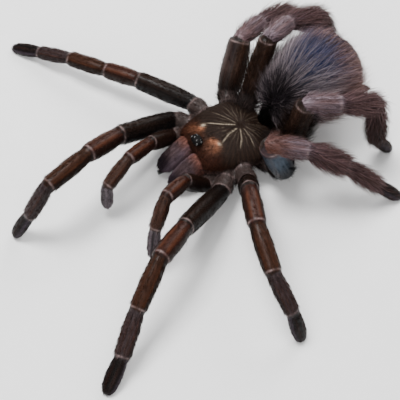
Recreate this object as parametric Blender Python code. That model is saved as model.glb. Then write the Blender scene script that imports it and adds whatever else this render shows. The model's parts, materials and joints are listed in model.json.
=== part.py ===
"""Tarantula at life size, standing still: a large ground-dwelling female.

The animal faces -Y, its left side is +X and it stands on z = 0. Every size and
place below is in millimetres, and add_part() turns the finished shape into metres.
Sizes are taken over the coat, so the outline is that of the hairy animal.
"""
import math

import bmesh
import bpy
from mathutils import Matrix, Vector

MM = 0.001
GAP = 0.3            # clearance between neighbouring pieces
WELD_REACH = 0.01    # corners nearer than this are one corner
NAME = "tarantula"

# Where the fovea, the pit in the middle of the carapace, stands above the floor plan.
BODY_AT = Vector((4.2, 12.56, 0.0))

# Carapace
CARAPACE_FRONT = -18.8
CARAPACE_REAR = 8.8
CARAPACE_WIDEST = -2.0
CARAPACE_HALF_WIDTH = 14.2
CLYPEUS_HALF_WIDTH = 9.4
CARAPACE_FLOOR = 9.4
CARAPACE_RIM = 1.3
CAPUT_TOP = 16.2
THORAX_TOP = 15.3
CLYPEUS_TOP = 13.4
FOVEA_DEPTH = 0.7
FOVEA_REACH = 2.6

# Underside of the forebody
PLEURA_FLOOR = 5.6
PLEURA_SHARE = 0.86
STERNUM_AT = Vector((0.0, -3.0, 6.4))
STERNUM_SIZE = Vector((6.6, 8.6, 2.9))
COXA_LENGTH = 10.5
COXA_SIZE = (6.8, 6.8)
TROCHANTER_LENGTH = 5.0

# Eyes
EYE_MOUND_AT = Vector((0.0, -16.9, 16.1))
EYE_MOUND_SIZE = Vector((2.5, 1.8, 1.1))
EYE_ROWS = (
    # sideways from the middle, forwards from the mound's middle, up, radius
    (0.75, 0.45, 0.85, 0.50),
    (1.85, 0.95, 0.35, 0.48),
    (1.85, -0.65, 0.40, 0.45),
    (1.15, -0.75, 0.70, 0.32),
)

# Chelicerae and fangs
CHELICERA_MIDDLE = 4.1
CHELICERA_RINGS = (
    # upper edge along the body and up, lower edge along the body and up, width
    (-17.4, 13.3, -12.8, 5.7, 7.8),
    (-20.8, 12.5, -14.9, 4.7, 8.1),
    (-24.6, 10.2, -18.0, 3.8, 8.1),
    (-27.6, 7.3, -21.4, 3.2, 7.9),
    (-29.3, 4.9, -25.0, 2.9, 7.0),
    (-29.8, 3.8, -27.9, 2.8, 4.4),
)
FANG_ROOT = Vector((3.9, -30.1, 1.55))
FANG_LENGTH = 8.0
FANG_RADIUS = 1.0
FANG_SAG = 0.25

# Hind body
PEDICEL_RADIUS = 2.0
PEDICEL_AT = Vector((0.0, 7.9, 8.0))
PEDICEL_END = Vector((-0.4, 16.0, 12.4))
ABDOMEN_AT = Vector((-2.2, 28.8, 19.8))
ABDOMEN_SIZE = Vector((14.2, 18.6, 14.3))
ABDOMEN_TILT = 15.0
ABDOMEN_YAW = 6.0
ABDOMEN_EGG = 0.12
SPINNERET_AT = Vector((2.4, 43.4, 11.6))
SPINNERET_MIDDLE = -2.2
SPINNERET_LENGTH = 8.5
SPINNERET_RADIUS = 1.15
SPINNERET_SPREAD = 16.0
SPINNERET_PITCH = -24.0

# Legs: place of the joint between trochanter and femur on the left side,
# heading of the coxa (degrees from straight ahead) and the segments' lengths.
LEG_ROOT = {
    "palp": (Vector((11.8, -20.2, 6.8)), 22),
    "leg_1": (Vector((17.5, -17.2, 8.0)), 42),
    "leg_2": (Vector((19.6, -8.2, 9.8)), 76),
    "leg_3": (Vector((20.0, 5.6, 8.5)), 113),
    "leg_4": (Vector((13.6, 11.0, 9.6)), 140),
}
LEG_SEGMENTS = ("femur", "patella", "tibia", "metatarsus", "tarsus")
PALP_SEGMENTS = ("femur", "patella", "tibia", "tarsus")
SEGMENT_LENGTHS = {
    "palp": (17.0, 10.5, 11.2, 10.5),
    "leg_1": (27.0, 14.5, 17.0, 15.0, 11.5),
    "leg_2": (22.0, 13.0, 16.0, 14.5, 12.0),
    "leg_3": (19.0, 12.5, 15.0, 15.0, 10.5),
    "leg_4": (24.0, 11.5, 13.0, 20.0, 10.5),
}
# Width and height of each segment over its short hair.
SEGMENT_SIZES = {
    "palp": ((5.2, 5.8), (5.2, 5.4), (4.7, 4.7), (4.4, 4.0)),
    "leg_1": ((6.8, 7.5), (6.6, 6.6), (5.9, 5.7), (5.7, 4.6), (5.3, 4.0)),
    "leg_2": ((6.5, 7.2), (6.4, 6.4), (5.9, 5.5), (5.4, 4.5), (5.2, 4.0)),
    "leg_3": ((8.4, 8.6), (6.4, 6.5), (6.2, 6.2), (5.2, 4.9), (4.9, 4.2)),
    "leg_4": ((6.8, 7.4), (6.2, 6.4), (6.2, 6.2), (5.8, 5.6), (4.8, 4.2)),
}
# Long brushes on the hind legs stand this much further out all round.
BRUSH = {
    ("leg_3", "patella"): 0.4,
    ("leg_3", "tibia"): 2.3,
    ("leg_3", "metatarsus"): 0.9,
    ("leg_4", "patella"): 0.5,
    ("leg_4", "tibia"): 2.1,
    ("leg_4", "metatarsus"): 1.7,
    ("leg_4", "tarsus"): 0.4,
}
BRUSH_LIFT = 0.35     # share of the brush by which its middle lies above the leg's axis

# Stance: for each limb the heading of its segments, in degrees from straight ahead
# towards its own side, and their pitch above level. The tarsus of a leg has no pitch
# of its own, because it reaches down to the floor.
STANCE = {
    ("palp", "left"): ((22, 28, 33, 50), (52, 15, -50, -64)),
    ("palp", "right"): ((-29, -21, -19, -17), (38, 8, -27, -85)),
    ("leg_1", "left"): ((33, 32, 36, 41, 35), (24, 8, -25, -30)),
    ("leg_1", "right"): ((-15, -21, -18, 10, 17), (26, 15, -2, -60)),
    ("leg_2", "left"): ((60, 71, 79, 103, 107), (48, -1, -14, -49)),
    ("leg_2", "right"): ((54, 55, 57, 57, 54), (4, -6, -8, -16)),
    ("leg_3", "left"): ((181, 151, 147, 149, 151), (110, -11, -28, -41)),
    ("leg_3", "right"): ((141, 156, 171, 171, 171), (52, -6, -17, -50.5)),
    ("leg_4", "left"): ((150, 158, 167, 168, 173), (80, -6, -16, -82)),
    ("leg_4", "right"): ((162, 158, 185, 174, 174), (69, -7, -10, -73)),
}
COXA_PITCH = 4
FOOT_CUT = 0.35       # depth that the floor takes off the round toe, which leaves a flat

# Shape of one leg segment: distance along it, share of its size, share of its brush.
SEGMENT_PROFILE = (
    (0.00, 0.86, 0.0),
    (0.14, 0.97, 0.6),
    (0.42, 1.04, 1.0),
    (0.70, 1.00, 0.9),
    (0.88, 0.96, 0.5),
    (1.00, 0.86, 0.1),
)
TOE_PROFILE = (
    (0.00, 0.86, 0.0),
    (0.20, 1.00, 1.0),
    (0.55, 1.06, 0.8),
    (0.84, 0.92, 0.3),
    (1.00, 0.56, 0.0),
)
MITRE_STRETCH = 1.15  # most that a section is drawn out where a joint is bent sharply
OVERRUN = 0.3         # how far a segment is drawn past its joint before it is trimmed
LEG_SIDES = 10
BODY_SIDES = 20


# ---------------------------------------------------------------- shared helpers

def clear_scene():
    """Take every object out of the scene."""
    for thing in list(bpy.data.objects):
        bpy.data.objects.remove(thing, do_unlink=True)


def new_collection(name):
    """Add a collection to the scene."""
    collection = bpy.data.collections.new(name)
    bpy.context.scene.collection.children.link(collection)
    return collection


def make_material(name, colour, roughness, metallic=0.0):
    """Add a Principled material of one plain colour."""
    material = bpy.data.materials.new(name)
    material.use_nodes = True
    shader = material.node_tree.nodes["Principled BSDF"]
    shader.inputs["Base Color"].default_value = (*colour, 1.0)
    shader.inputs["Roughness"].default_value = roughness
    shader.inputs["Metallic"].default_value = metallic
    material.diffuse_color = (*colour, 1.0)
    return material


def add_part(name, bm, material, collection):
    """Turn a shape in millimetres into an object in metres, set down at the body's place."""
    bmesh.ops.recalc_face_normals(bm, faces=bm.faces)
    bmesh.ops.translate(bm, verts=bm.verts, vec=BODY_AT)
    bmesh.ops.scale(bm, verts=bm.verts, vec=(MM, MM, MM))
    mesh = bpy.data.meshes.new(name)
    bm.to_mesh(mesh)
    bm.free()
    mesh.materials.append(material)
    mesh.shade_smooth()
    mesh.set_sharp_from_angle(angle=math.radians(50))
    part = bpy.data.objects.new(name, mesh)
    collection.objects.link(part)
    return part


def add_cutter(name, bm, material, collection):
    """Add a helper that only a Boolean uses."""
    cutter = add_part(name, bm, material, collection)
    cutter.hide_render = True
    cutter.display_type = "WIRE"
    return cutter


def join_or_cut(part, other, operation):
    """Give a part an exact Boolean with a cutter, or with a whole collection of them."""
    modifier = part.modifiers.new(f"{operation.lower()} {other.name}", "BOOLEAN")
    modifier.solver = "EXACT"
    modifier.operation = operation
    if isinstance(other, bpy.types.Collection):
        modifier.operand_type = "COLLECTION"
        modifier.collection = other
    else:
        modifier.object = other


def loft(bm, stations, place, sides):
    """Make a closed body through rings: place(station, angle) gives each corner."""
    first = bmesh.ops.create_circle(bm, cap_ends=True, segments=sides, radius=1.0)["verts"]
    angles = {}
    for number, corner in enumerate(first):
        angles[corner] = 2 * math.pi * number / sides
        corner.co = place(stations[0], angles[corner])
    edges = list({edge for corner in first for edge in corner.link_edges})
    for station in stations[1:]:
        made = bmesh.ops.extrude_edge_only(bm, edges=edges)["geom"]
        edges = [item for item in made if isinstance(item, bmesh.types.BMEdge)]
        corners = [item for item in made if isinstance(item, bmesh.types.BMVert)]
        grown = {}
        for corner in corners:
            parent = next(edge.other_vert(corner) for edge in corner.link_edges
                          if edge.other_vert(corner) in angles)
            grown[corner] = angles[parent]
            corner.co = place(station, grown[corner])
        edges = [edge for edge in edges if all(vert in grown for vert in edge.verts)]
        angles = grown
    bmesh.ops.contextual_create(bm, geom=edges)


def ease(value):
    """Turn 0..1 into a smooth step."""
    value = min(max(value, 0.0), 1.0)
    return value * value * (3 - 2 * value)


# ---------------------------------------------------------------- limbs

def direction(side, heading, pitch):
    """Unit vector of a segment: heading from straight ahead to its own side, pitch up."""
    turn = math.radians(heading)
    lift = math.radians(pitch)
    return Vector((side * math.sin(turn) * math.cos(lift),
                   -math.cos(turn) * math.cos(lift),
                   math.sin(lift)))


def across(side, heading):
    """Level unit vector at right angles to a segment."""
    turn = math.radians(heading)
    return Vector((math.cos(turn), side * math.sin(turn), 0.0))


def toe_pitch(height, length, radius):
    """Pitch that puts the lower edge of the toe just under the floor."""
    reach = math.hypot(length, radius)
    return -math.degrees(math.asin((height + FOOT_CUT) / reach) - math.atan2(radius, length))


def limb_chain(limb, side_name):
    """Joint centres, directions and level cross vectors, from the coxa's inner end outwards."""
    side = 1 if side_name == "left" else -1
    root, coxa_heading = LEG_ROOT[limb]
    root = Vector((root.x * side, root.y, root.z))
    inward = direction(side, coxa_heading, COXA_PITCH)
    joints = [root - inward * (COXA_LENGTH + TROCHANTER_LENGTH),
              root - inward * TROCHANTER_LENGTH,
              root]
    ways = [inward, inward]
    crosses = [across(side, coxa_heading)] * 2
    headings, pitches = STANCE[(limb, side_name)]
    for number, (heading, length) in enumerate(zip(headings, SEGMENT_LENGTHS[limb])):
        if number < len(pitches):
            pitch = pitches[number]
        else:
            toe_radius = SEGMENT_SIZES[limb][-1][1] / 2 * TOE_PROFILE[-1][1]
            pitch = toe_pitch(joints[-1].z, length, toe_radius)
        ways.append(direction(side, heading, pitch))
        crosses.append(across(side, heading))
        joints.append(joints[-1] + ways[-1] * length)
    return joints, ways, crosses


def joint_frame(before, after, cross_before, cross_after):
    """Axes of the plane that halves a bend, and the stretch of a section there."""
    along = (before + after).normalized()
    level = (cross_before + cross_after).normalized()
    level = (level - along * level.dot(along)).normalized()
    upright = level.cross(along)
    half = before.angle(after, 0.0) / 2
    stretch = min(1 / math.cos(half), MITRE_STRETCH)
    return along, level, upright, stretch, math.sin(half)


def segment_rings(centre_a, centre_b, frames, size, brush, profile, joint_sizes):
    """Rings of one segment: centre, level axis, upright axis, half width, half height."""
    way = (centre_b - centre_a).normalized()
    length = (centre_b - centre_a).length
    level = (frames[0][1] + frames[1][1]).normalized()
    level = (level - way * level.dot(way)).normalized()
    upright = level.cross(way)
    rings = []
    last = len(profile) - 1
    for number, (share, core, fringe) in enumerate(profile):
        half_width = (size[0] * core) / 2 + brush * fringe
        half_height = (size[1] * core) / 2 + brush * fringe
        lift = upright * (brush * fringe * BRUSH_LIFT)
        ends = {0: (centre_a, frames[0], 1, joint_sizes[0]),
                last: (centre_b, frames[1], -1, joint_sizes[1])}
        if number in ends and ends[number][3] is not None:
            centre, frame, inwards, joint_size = ends[number]
            centre = centre - frame[0] * (inwards * OVERRUN)
            rings.append((centre, frame[1], frame[2],
                          joint_size[0] / 2, joint_size[1] / 2 * frame[3]))
            continue
        least = frames[0][4] * size[1] * 0.55 + GAP
        most = length - frames[1][4] * size[1] * 0.55 - GAP
        step = min(max(share * length, least), most) if number not in (0, last) else share * length
        rings.append((centre_a + way * step + lift, level, upright, half_width, half_height))
    return rings


def ring_point(ring, angle):
    """A corner of an oval ring."""
    centre, level, upright, half_width, half_height = ring
    return centre + level * (half_width * math.cos(angle)) + upright * (half_height * math.sin(angle))


def trim(bm, place, outward):
    """Take off what lies beyond a plane and close the cut with a flat."""
    cut = bmesh.ops.bisect_plane(bm, geom=bm.verts[:] + bm.edges[:] + bm.faces[:],
                                 plane_co=place, plane_no=outward, clear_outer=True)
    rim = [item for item in cut["geom_cut"] if isinstance(item, bmesh.types.BMEdge)]
    bmesh.ops.contextual_create(bm, geom=rim)


def trim_joint(bm, centre, frame, inwards):
    """Cut a segment's end along the plane that it shares with its neighbour, less half the gap."""
    along = frame[0] * inwards
    trim(bm, centre + along * (GAP / 2), -along)


def limb_frames(limb, side_name):
    """Joints of a limb and the frame of each joint, with the size of the section there."""
    joints, ways, crosses = limb_chain(limb, side_name)
    sizes = [COXA_SIZE, COXA_SIZE, *SEGMENT_SIZES[limb]]
    frames = [joint_frame(ways[0], ways[0], crosses[0], crosses[0])]
    joint_sizes = [COXA_SIZE]
    for before, after, cross_before, cross_after, size_a, size_b in zip(
            ways, ways[1:], crosses, crosses[1:], sizes, sizes[1:]):
        frames.append(joint_frame(before, after, cross_before, cross_after))
        share = SEGMENT_PROFILE[0][1]
        joint_sizes.append((min(size_a[0], size_b[0]) * share,
                            min(size_a[1], size_b[1]) * share))
    frames.append(joint_frame(ways[-1], ways[-1], crosses[-1], crosses[-1]))
    joint_sizes.append(None)
    return joints, frames, sizes, joint_sizes


def make_limb(limb, side_name, materials, collection):
    """One node for each free segment of a leg or palp."""
    joints, frames, sizes, joint_sizes = limb_frames(limb, side_name)
    names = PALP_SEGMENTS if limb == "palp" else LEG_SEGMENTS
    stem = limb.replace("leg_", f"leg_{side_name}_") if limb != "palp" else f"palp_{side_name}"
    for number, segment in enumerate(names):
        place = number + 2
        toe = segment == "tarsus"
        profile = TOE_PROFILE if toe else SEGMENT_PROFILE
        rings = segment_rings(joints[place], joints[place + 1], frames[place:place + 2],
                              sizes[place], BRUSH.get((limb, segment), 0.0), profile,
                              joint_sizes[place:place + 2])
        bm = bmesh.new()
        loft(bm, rings, ring_point, LEG_SIDES)
        trim_joint(bm, joints[place], frames[place], 1)
        if not toe:
            trim_joint(bm, joints[place + 1], frames[place + 1], -1)
        elif limb != "palp":
            trim(bm, Vector((0.0, 0.0, 0.0)), Vector((0.0, 0.0, -1.0)))
        add_part(f"{stem}_{segment}", bm, materials[segment], collection)


def coxa_shape(limb, side_name):
    """Coxa and trochanter of one limb, from the sternum to the joint with the femur."""
    joints, frames, sizes, joint_sizes = limb_frames(limb, side_name)
    share = 0.84 if limb == "palp" else 1.0
    wide, tall = COXA_SIZE[0] * share, COXA_SIZE[1] * share
    way = (joints[2] - joints[0]).normalized()
    level, upright = frames[1][1], frames[1][2]
    rings = [
        (joints[0], level, upright, wide * 0.36, tall * 0.36),
        (joints[0] + way * (COXA_LENGTH * 0.45), level, upright, wide * 0.5, tall * 0.5),
        (joints[1] - way * 0.5, level, upright, wide * 0.5, tall * 0.5),
        (joints[1] + way * 0.4, level, upright, wide * 0.42, tall * 0.42),
        (joints[1] + way * (TROCHANTER_LENGTH * 0.45), level, upright, wide * 0.5, tall * 0.5),
        (joints[2] + frames[2][0] * OVERRUN, frames[2][1], frames[2][2],
         joint_sizes[2][0] / 2, joint_sizes[2][1] / 2 * frames[2][3]),
    ]
    bm = bmesh.new()
    loft(bm, rings, ring_point, LEG_SIDES)
    trim_joint(bm, joints[2], frames[2], -1)
    return bm


# ---------------------------------------------------------------- forebody

def carapace_half_width(y):
    """Outline of the carapace: a blunt front, widest behind the middle, a round rear."""
    if y < CARAPACE_WIDEST:
        share = (y - CARAPACE_FRONT) / (CARAPACE_WIDEST - CARAPACE_FRONT)
        share = min(max(share, 0.0), 1.0)
        side = CLYPEUS_HALF_WIDTH + (CARAPACE_HALF_WIDTH - CLYPEUS_HALF_WIDTH) * math.sin(
            share * math.pi / 2)
        corner = min((y - CARAPACE_FRONT) / 2.2, 1.0)
        return side * (0.72 + 0.28 * math.sqrt(max(1 - (1 - corner) ** 2, 0.0)))
    share = min((y - CARAPACE_WIDEST) / (CARAPACE_REAR - CARAPACE_WIDEST), 1.0)
    return CARAPACE_HALF_WIDTH * (1 - 0.88 * share ** 2.2) ** 0.5


def carapace_crest(y):
    """Height of the carapace along its middle."""
    if y < -11.0:
        share = (y - CARAPACE_FRONT) / (-11.0 - CARAPACE_FRONT)
        return CLYPEUS_TOP + (CAPUT_TOP - CLYPEUS_TOP) * math.sin(share * math.pi / 2) ** 0.7
    if y < 0.0:
        return CAPUT_TOP + (THORAX_TOP - CAPUT_TOP) * ease((y + 11.0) / 11.0)
    fall = ease(y / CARAPACE_REAR)
    return THORAX_TOP + (CARAPACE_FLOOR + 2.2 - THORAX_TOP) * fall ** 1.3


def carapace_point(y, angle, grow=0.0):
    """Skin of the carapace at a distance along the body and an angle round it."""
    inside = min(max(y, CARAPACE_FRONT), CARAPACE_REAR)
    half = carapace_half_width(inside) + grow
    sideways = math.cos(angle)
    x = half * math.copysign(abs(sideways) ** 0.9, sideways)
    crest = carapace_crest(inside) + grow
    low = CARAPACE_FLOOR - grow
    rim = CARAPACE_FLOOR + CARAPACE_RIM
    upward = math.sin(angle)
    if upward < 0:
        z = rim + (rim - low) * max(upward * 1.6, -1.0)
    else:
        z = rim + (crest - rim) * upward ** 0.85
        dip = math.exp(-(x * x + (y + 0.2) ** 2) / FOVEA_REACH ** 2)
        z -= FOVEA_DEPTH * dip
    return Vector((x, y, z))


CARAPACE_STATIONS = (-18.8, -18.2, -16.8, -14.5, -11.0, -7.0, -3.5, -1.5, 0.0, 1.5,
                     3.5, 5.5, 7.2, 8.3, 8.8)


def make_carapace(material, collection):
    """The shield over the forebody, with a shallow pit in its middle."""
    bm = bmesh.new()
    loft(bm, CARAPACE_STATIONS, carapace_point, BODY_SIDES)
    return add_part("carapace", bm, material, collection)


def carapace_cutter(material, collection):
    """The carapace grown by the gap, which clears its neighbours."""
    reach = (CARAPACE_REAR - CARAPACE_FRONT) / 2
    middle = (CARAPACE_REAR + CARAPACE_FRONT) / 2
    stations = [middle + (y - middle) * (1 + GAP / reach) for y in CARAPACE_STATIONS]
    bm = bmesh.new()
    loft(bm, stations, lambda y, angle: carapace_point(y, angle, GAP), BODY_SIDES)
    return add_cutter("room for carapace", bm, material, collection)


def pleura_shape():
    """Soft body wall under the carapace."""
    bm = bmesh.new()
    outline = [-15.6, -14.0, -10.0, -5.0, 0.0, 3.5, 6.2, 7.6]

    def place(y, angle):
        half = carapace_half_width(y) * PLEURA_SHARE
        tall = (CARAPACE_FLOOR + 0.6 - PLEURA_FLOOR) / 2
        upward = math.sin(angle)
        return Vector((half * math.cos(angle), y,
                       PLEURA_FLOOR + tall + tall * math.copysign(abs(upward) ** 0.6, upward)))

    loft(bm, outline, place, 16)
    return bm


def sternum_shape():
    """The plate between the coxae."""
    bm = bmesh.new()
    turned = Matrix.Translation(STERNUM_AT) @ Matrix.Diagonal((*STERNUM_SIZE, 1.0))
    bmesh.ops.create_uvsphere(bm, u_segments=12, v_segments=6, radius=1.0, matrix=turned)
    return bm


def make_underside(material, collection, cutters, rooms):
    """Sternum, body wall, coxae and trochanters as one body."""
    part = add_part("forebody_underside", pleura_shape(), material, collection)
    pieces = bpy.data.collections.new("joined to the underside")
    cutters.children.link(pieces)
    add_cutter("sternum", sternum_shape(), material, pieces)
    for limb, side_name in STANCE:
        add_cutter(f"coxa {limb} {side_name}", coxa_shape(limb, side_name), material, pieces)
    join_or_cut(part, pieces, "UNION")
    for room in rooms:
        join_or_cut(part, room, "DIFFERENCE")
    weld = part.modifiers.new("close hairline splits", "WELD")
    weld.merge_threshold = WELD_REACH * MM
    return part


def make_eyes(material, collection, cutters):
    """The low mound with the eight eyes on it."""
    bm = bmesh.new()
    placed = Matrix.Translation(EYE_MOUND_AT) @ Matrix.Diagonal((*EYE_MOUND_SIZE, 1.0))
    bmesh.ops.create_uvsphere(bm, u_segments=14, v_segments=8, radius=1.0, matrix=placed)
    part = add_part("eyes", bm, material, collection)
    eyes = bpy.data.collections.new("joined to the eye mound")
    cutters.children.link(eyes)
    for number, (sideways, forwards, up, radius) in enumerate(EYE_ROWS):
        for side in (-1, 1):
            centre = EYE_MOUND_AT + Vector((side * sideways, -forwards, up - radius * 0.35))
            bm = bmesh.new()
            bmesh.ops.create_icosphere(bm, subdivisions=1, radius=radius,
                                       matrix=Matrix.Translation(centre))
            add_cutter(f"eye {number} {side}", bm, material, eyes)
    join_or_cut(part, eyes, "UNION")
    return part


def chelicera_rings(side, grow=0.0):
    """Rings of a chelicera, sloping from the clypeus down to the fang."""
    rings = []
    last = len(CHELICERA_RINGS) - 1
    for number, (top_y, top_z, low_y, low_z, width) in enumerate(CHELICERA_RINGS):
        centre = Vector((CHELICERA_MIDDLE * side, (top_y + low_y) / 2, (top_z + low_z) / 2))
        height = math.hypot(top_y - low_y, top_z - low_z)
        upright = Vector((0.0, (top_y - low_y) / height, (top_z - low_z) / height))
        forwards = Vector((0.0, -upright.z, upright.y))
        outward = (number == last) - (number == 0)
        rings.append((centre + forwards * (grow * outward), Vector((1.0, 0.0, 0.0)), upright,
                      width / 2 + grow, height / 2 + grow))
    return rings


def make_chelicerae(material, collection, cutters, carapace_room):
    """The two stout jaws, and the room that they need in the underside."""
    rooms = []
    for side_name, side in (("left", 1), ("right", -1)):
        bm = bmesh.new()
        loft(bm, chelicera_rings(side), ring_point, 14)
        part = add_part(f"chelicera_{side_name}", bm, material, collection)
        join_or_cut(part, carapace_room, "DIFFERENCE")
        bm = bmesh.new()
        loft(bm, chelicera_rings(side, GAP), ring_point, 14)
        rooms.append(add_cutter(f"room for chelicera {side_name}", bm, material, cutters))
    return rooms


def make_fangs(material, collection):
    """Curved fangs folded back under the chelicerae."""
    for side_name, side in (("left", 1), ("right", -1)):
        rings = []
        steps = 6
        for number in range(steps):
            share = number / (steps - 1)
            centre = Vector((FANG_ROOT.x * side, FANG_ROOT.y + FANG_LENGTH * share,
                             FANG_ROOT.z - FANG_SAG * math.sin(share * math.pi)))
            radius = FANG_RADIUS * (1 - share) ** 0.6 + 0.26 * share
            rings.append((centre, Vector((1.0, 0.0, 0.0)), Vector((0.0, 0.0, 1.0)),
                          radius * 0.85, radius))
        bm = bmesh.new()
        loft(bm, rings, ring_point, 8)
        add_part(f"fang_{side_name}", bm, material, collection)


# ---------------------------------------------------------------- hind body

def abdomen_matrix():
    """Place and tilt of the abdomen."""
    yaw = Matrix.Rotation(math.radians(ABDOMEN_YAW), 4, "Z")
    tilt = Matrix.Rotation(math.radians(ABDOMEN_TILT), 4, "X")
    return Matrix.Translation(ABDOMEN_AT) @ yaw @ tilt


def abdomen_shape(grow=0.0):
    """An egg, broader behind, carried with its rear end raised."""
    bm = bmesh.new()
    # The sphere's poles lie fore and aft, as the rings of an abdomen do.
    upended = Matrix.Rotation(math.radians(-90), 4, "X")
    bmesh.ops.create_uvsphere(bm, u_segments=BODY_SIDES, v_segments=14, radius=1.0,
                              matrix=upended)
    for corner in bm.verts:
        swell = 1 + ABDOMEN_EGG * corner.co.y
        corner.co = Vector((corner.co.x * swell * (ABDOMEN_SIZE.x + grow),
                            corner.co.y * (ABDOMEN_SIZE.y + grow),
                            corner.co.z * swell * (ABDOMEN_SIZE.z + grow)))
    bmesh.ops.transform(bm, matrix=abdomen_matrix(), verts=bm.verts)
    return bm


def make_pedicel(material, collection, rooms):
    """The narrow waist."""
    way = (PEDICEL_END - PEDICEL_AT).normalized()
    level = Vector((1.0, 0.0, 0.0))
    upright = level.cross(way)
    rings = [(PEDICEL_AT.lerp(PEDICEL_END, share), level, upright,
              PEDICEL_RADIUS * size, PEDICEL_RADIUS * size)
             for share, size in ((0.0, 1.0), (0.5, 0.86), (1.0, 1.0))]
    bm = bmesh.new()
    loft(bm, rings, ring_point, LEG_SIDES)
    trim(bm, PEDICEL_AT, Vector((0.0, -1.0, 0.0)))
    part = add_part("pedicel", bm, material, collection)
    for room in rooms:
        join_or_cut(part, room, "DIFFERENCE")


def make_spinnerets(material, collection, abdomen_room):
    """The long pair of spinnerets at the rear."""
    profile = ((0.0, 1.0), (0.36, 0.95), (0.42, 0.82), (0.68, 0.8), (0.74, 0.62), (1.0, 0.3))
    for side_name, side in (("left", 1), ("right", -1)):
        way = direction(side, 180 - SPINNERET_SPREAD, SPINNERET_PITCH)
        level = across(side, 180 - SPINNERET_SPREAD)
        upright = level.cross(way)
        start = Vector((SPINNERET_AT.x * side + SPINNERET_MIDDLE, *SPINNERET_AT.yz))
        rings = [(start + way * (SPINNERET_LENGTH * share), level, upright,
                  SPINNERET_RADIUS * size, SPINNERET_RADIUS * size)
                 for share, size in profile]
        bm = bmesh.new()
        loft(bm, rings, ring_point, 8)
        part = add_part(f"spinneret_{side_name}", bm, material, collection)
        join_or_cut(part, abdomen_room, "DIFFERENCE")


def main():
    """Build the whole animal."""
    clear_scene()
    parts = new_collection(NAME)
    cutters = new_collection("cutters")
    rust = make_material("rust brown hair", (0.16, 0.055, 0.025), 0.6)
    dark = make_material("near black hair", (0.022, 0.017, 0.016), 0.6)
    smoke = make_material("smoky brown hair", (0.085, 0.05, 0.042), 0.65)
    velvet = make_material("olive brown velvet", (0.075, 0.045, 0.028), 0.7)
    fur = make_material("grey lilac fur", (0.06, 0.05, 0.065), 0.65)
    horn = make_material("black horn", (0.01, 0.008, 0.008), 0.25)
    lilac = make_material("purple brown hair", (0.10, 0.055, 0.05), 0.6)
    by_segment = {"femur": dark, "patella": rust, "tibia": rust,
                  "metatarsus": smoke, "tarsus": dark}

    make_carapace(velvet, parts)
    carapace_room = carapace_cutter(velvet, cutters)
    jaw_rooms = make_chelicerae(lilac, parts, cutters, carapace_room)
    make_underside(dark, parts, cutters, [carapace_room, *jaw_rooms])
    make_eyes(horn, parts, cutters)
    make_fangs(horn, parts)
    add_part("abdomen", abdomen_shape(), fur, parts)
    abdomen_room = add_cutter("room for abdomen", abdomen_shape(GAP * 1.2), fur, cutters)
    make_pedicel(dark, parts, [carapace_room, abdomen_room])
    make_spinnerets(dark, parts, abdomen_room)
    for limb, side_name in STANCE:
        make_limb(limb, side_name, by_segment, parts)


main()
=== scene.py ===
"""Tarantula at life size: skin, shield, jaws, eyes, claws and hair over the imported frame.

A large ground-dwelling female stands still. It faces -Y, its left side is +X and it
stands on z = 0. Shapes are worked out in millimetres and made into meshes in metres.
"""
import itertools
import json
import math

import bmesh
import bpy
import numpy as np
from bpy.props import FloatProperty, FloatVectorProperty, IntProperty, PointerProperty
from mathutils import Matrix, Vector

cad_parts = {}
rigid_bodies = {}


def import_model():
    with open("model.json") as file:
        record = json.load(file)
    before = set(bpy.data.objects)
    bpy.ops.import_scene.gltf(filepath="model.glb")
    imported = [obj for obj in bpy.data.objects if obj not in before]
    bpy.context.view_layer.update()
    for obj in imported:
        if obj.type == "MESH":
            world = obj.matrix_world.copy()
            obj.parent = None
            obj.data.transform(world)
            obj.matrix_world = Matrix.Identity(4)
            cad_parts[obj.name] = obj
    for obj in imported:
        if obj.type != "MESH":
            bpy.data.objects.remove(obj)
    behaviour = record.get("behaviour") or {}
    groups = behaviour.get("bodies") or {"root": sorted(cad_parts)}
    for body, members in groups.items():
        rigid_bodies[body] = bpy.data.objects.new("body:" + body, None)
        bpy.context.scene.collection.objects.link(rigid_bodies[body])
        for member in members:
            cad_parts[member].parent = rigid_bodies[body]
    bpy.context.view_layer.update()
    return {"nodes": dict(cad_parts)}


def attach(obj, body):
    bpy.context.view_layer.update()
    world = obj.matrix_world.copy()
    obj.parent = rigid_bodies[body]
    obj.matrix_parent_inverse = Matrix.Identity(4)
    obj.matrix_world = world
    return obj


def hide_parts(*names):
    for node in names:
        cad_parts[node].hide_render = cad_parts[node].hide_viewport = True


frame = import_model()

bl_info = {
    "name": "Tarantula",
    "version": (1, 0, 0),
    "blender": (4, 5, 0),
    "location": "View3D > Sidebar > Tarantula",
    "description": "Builds the skin, hair and stage of a life-size tarantula",
    "category": "Add Mesh",
}

MM = 0.001
BODY_AT = Vector((4.2, 12.56, 0.0))      # the fovea, the pit in the middle of the shield
SEED = 7
SIDES = {"left": 1, "right": -1}
LIMB_GROUPS = {"front": ("palp", "leg_1", "leg_2"), "hind": ("leg_3", "leg_4")}
ORDER = Vector((3.1, 7.7, 1.0))           # uneven, so that no two places come out alike

# ---------------------------------------------------------------- the limbs' measures

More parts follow.
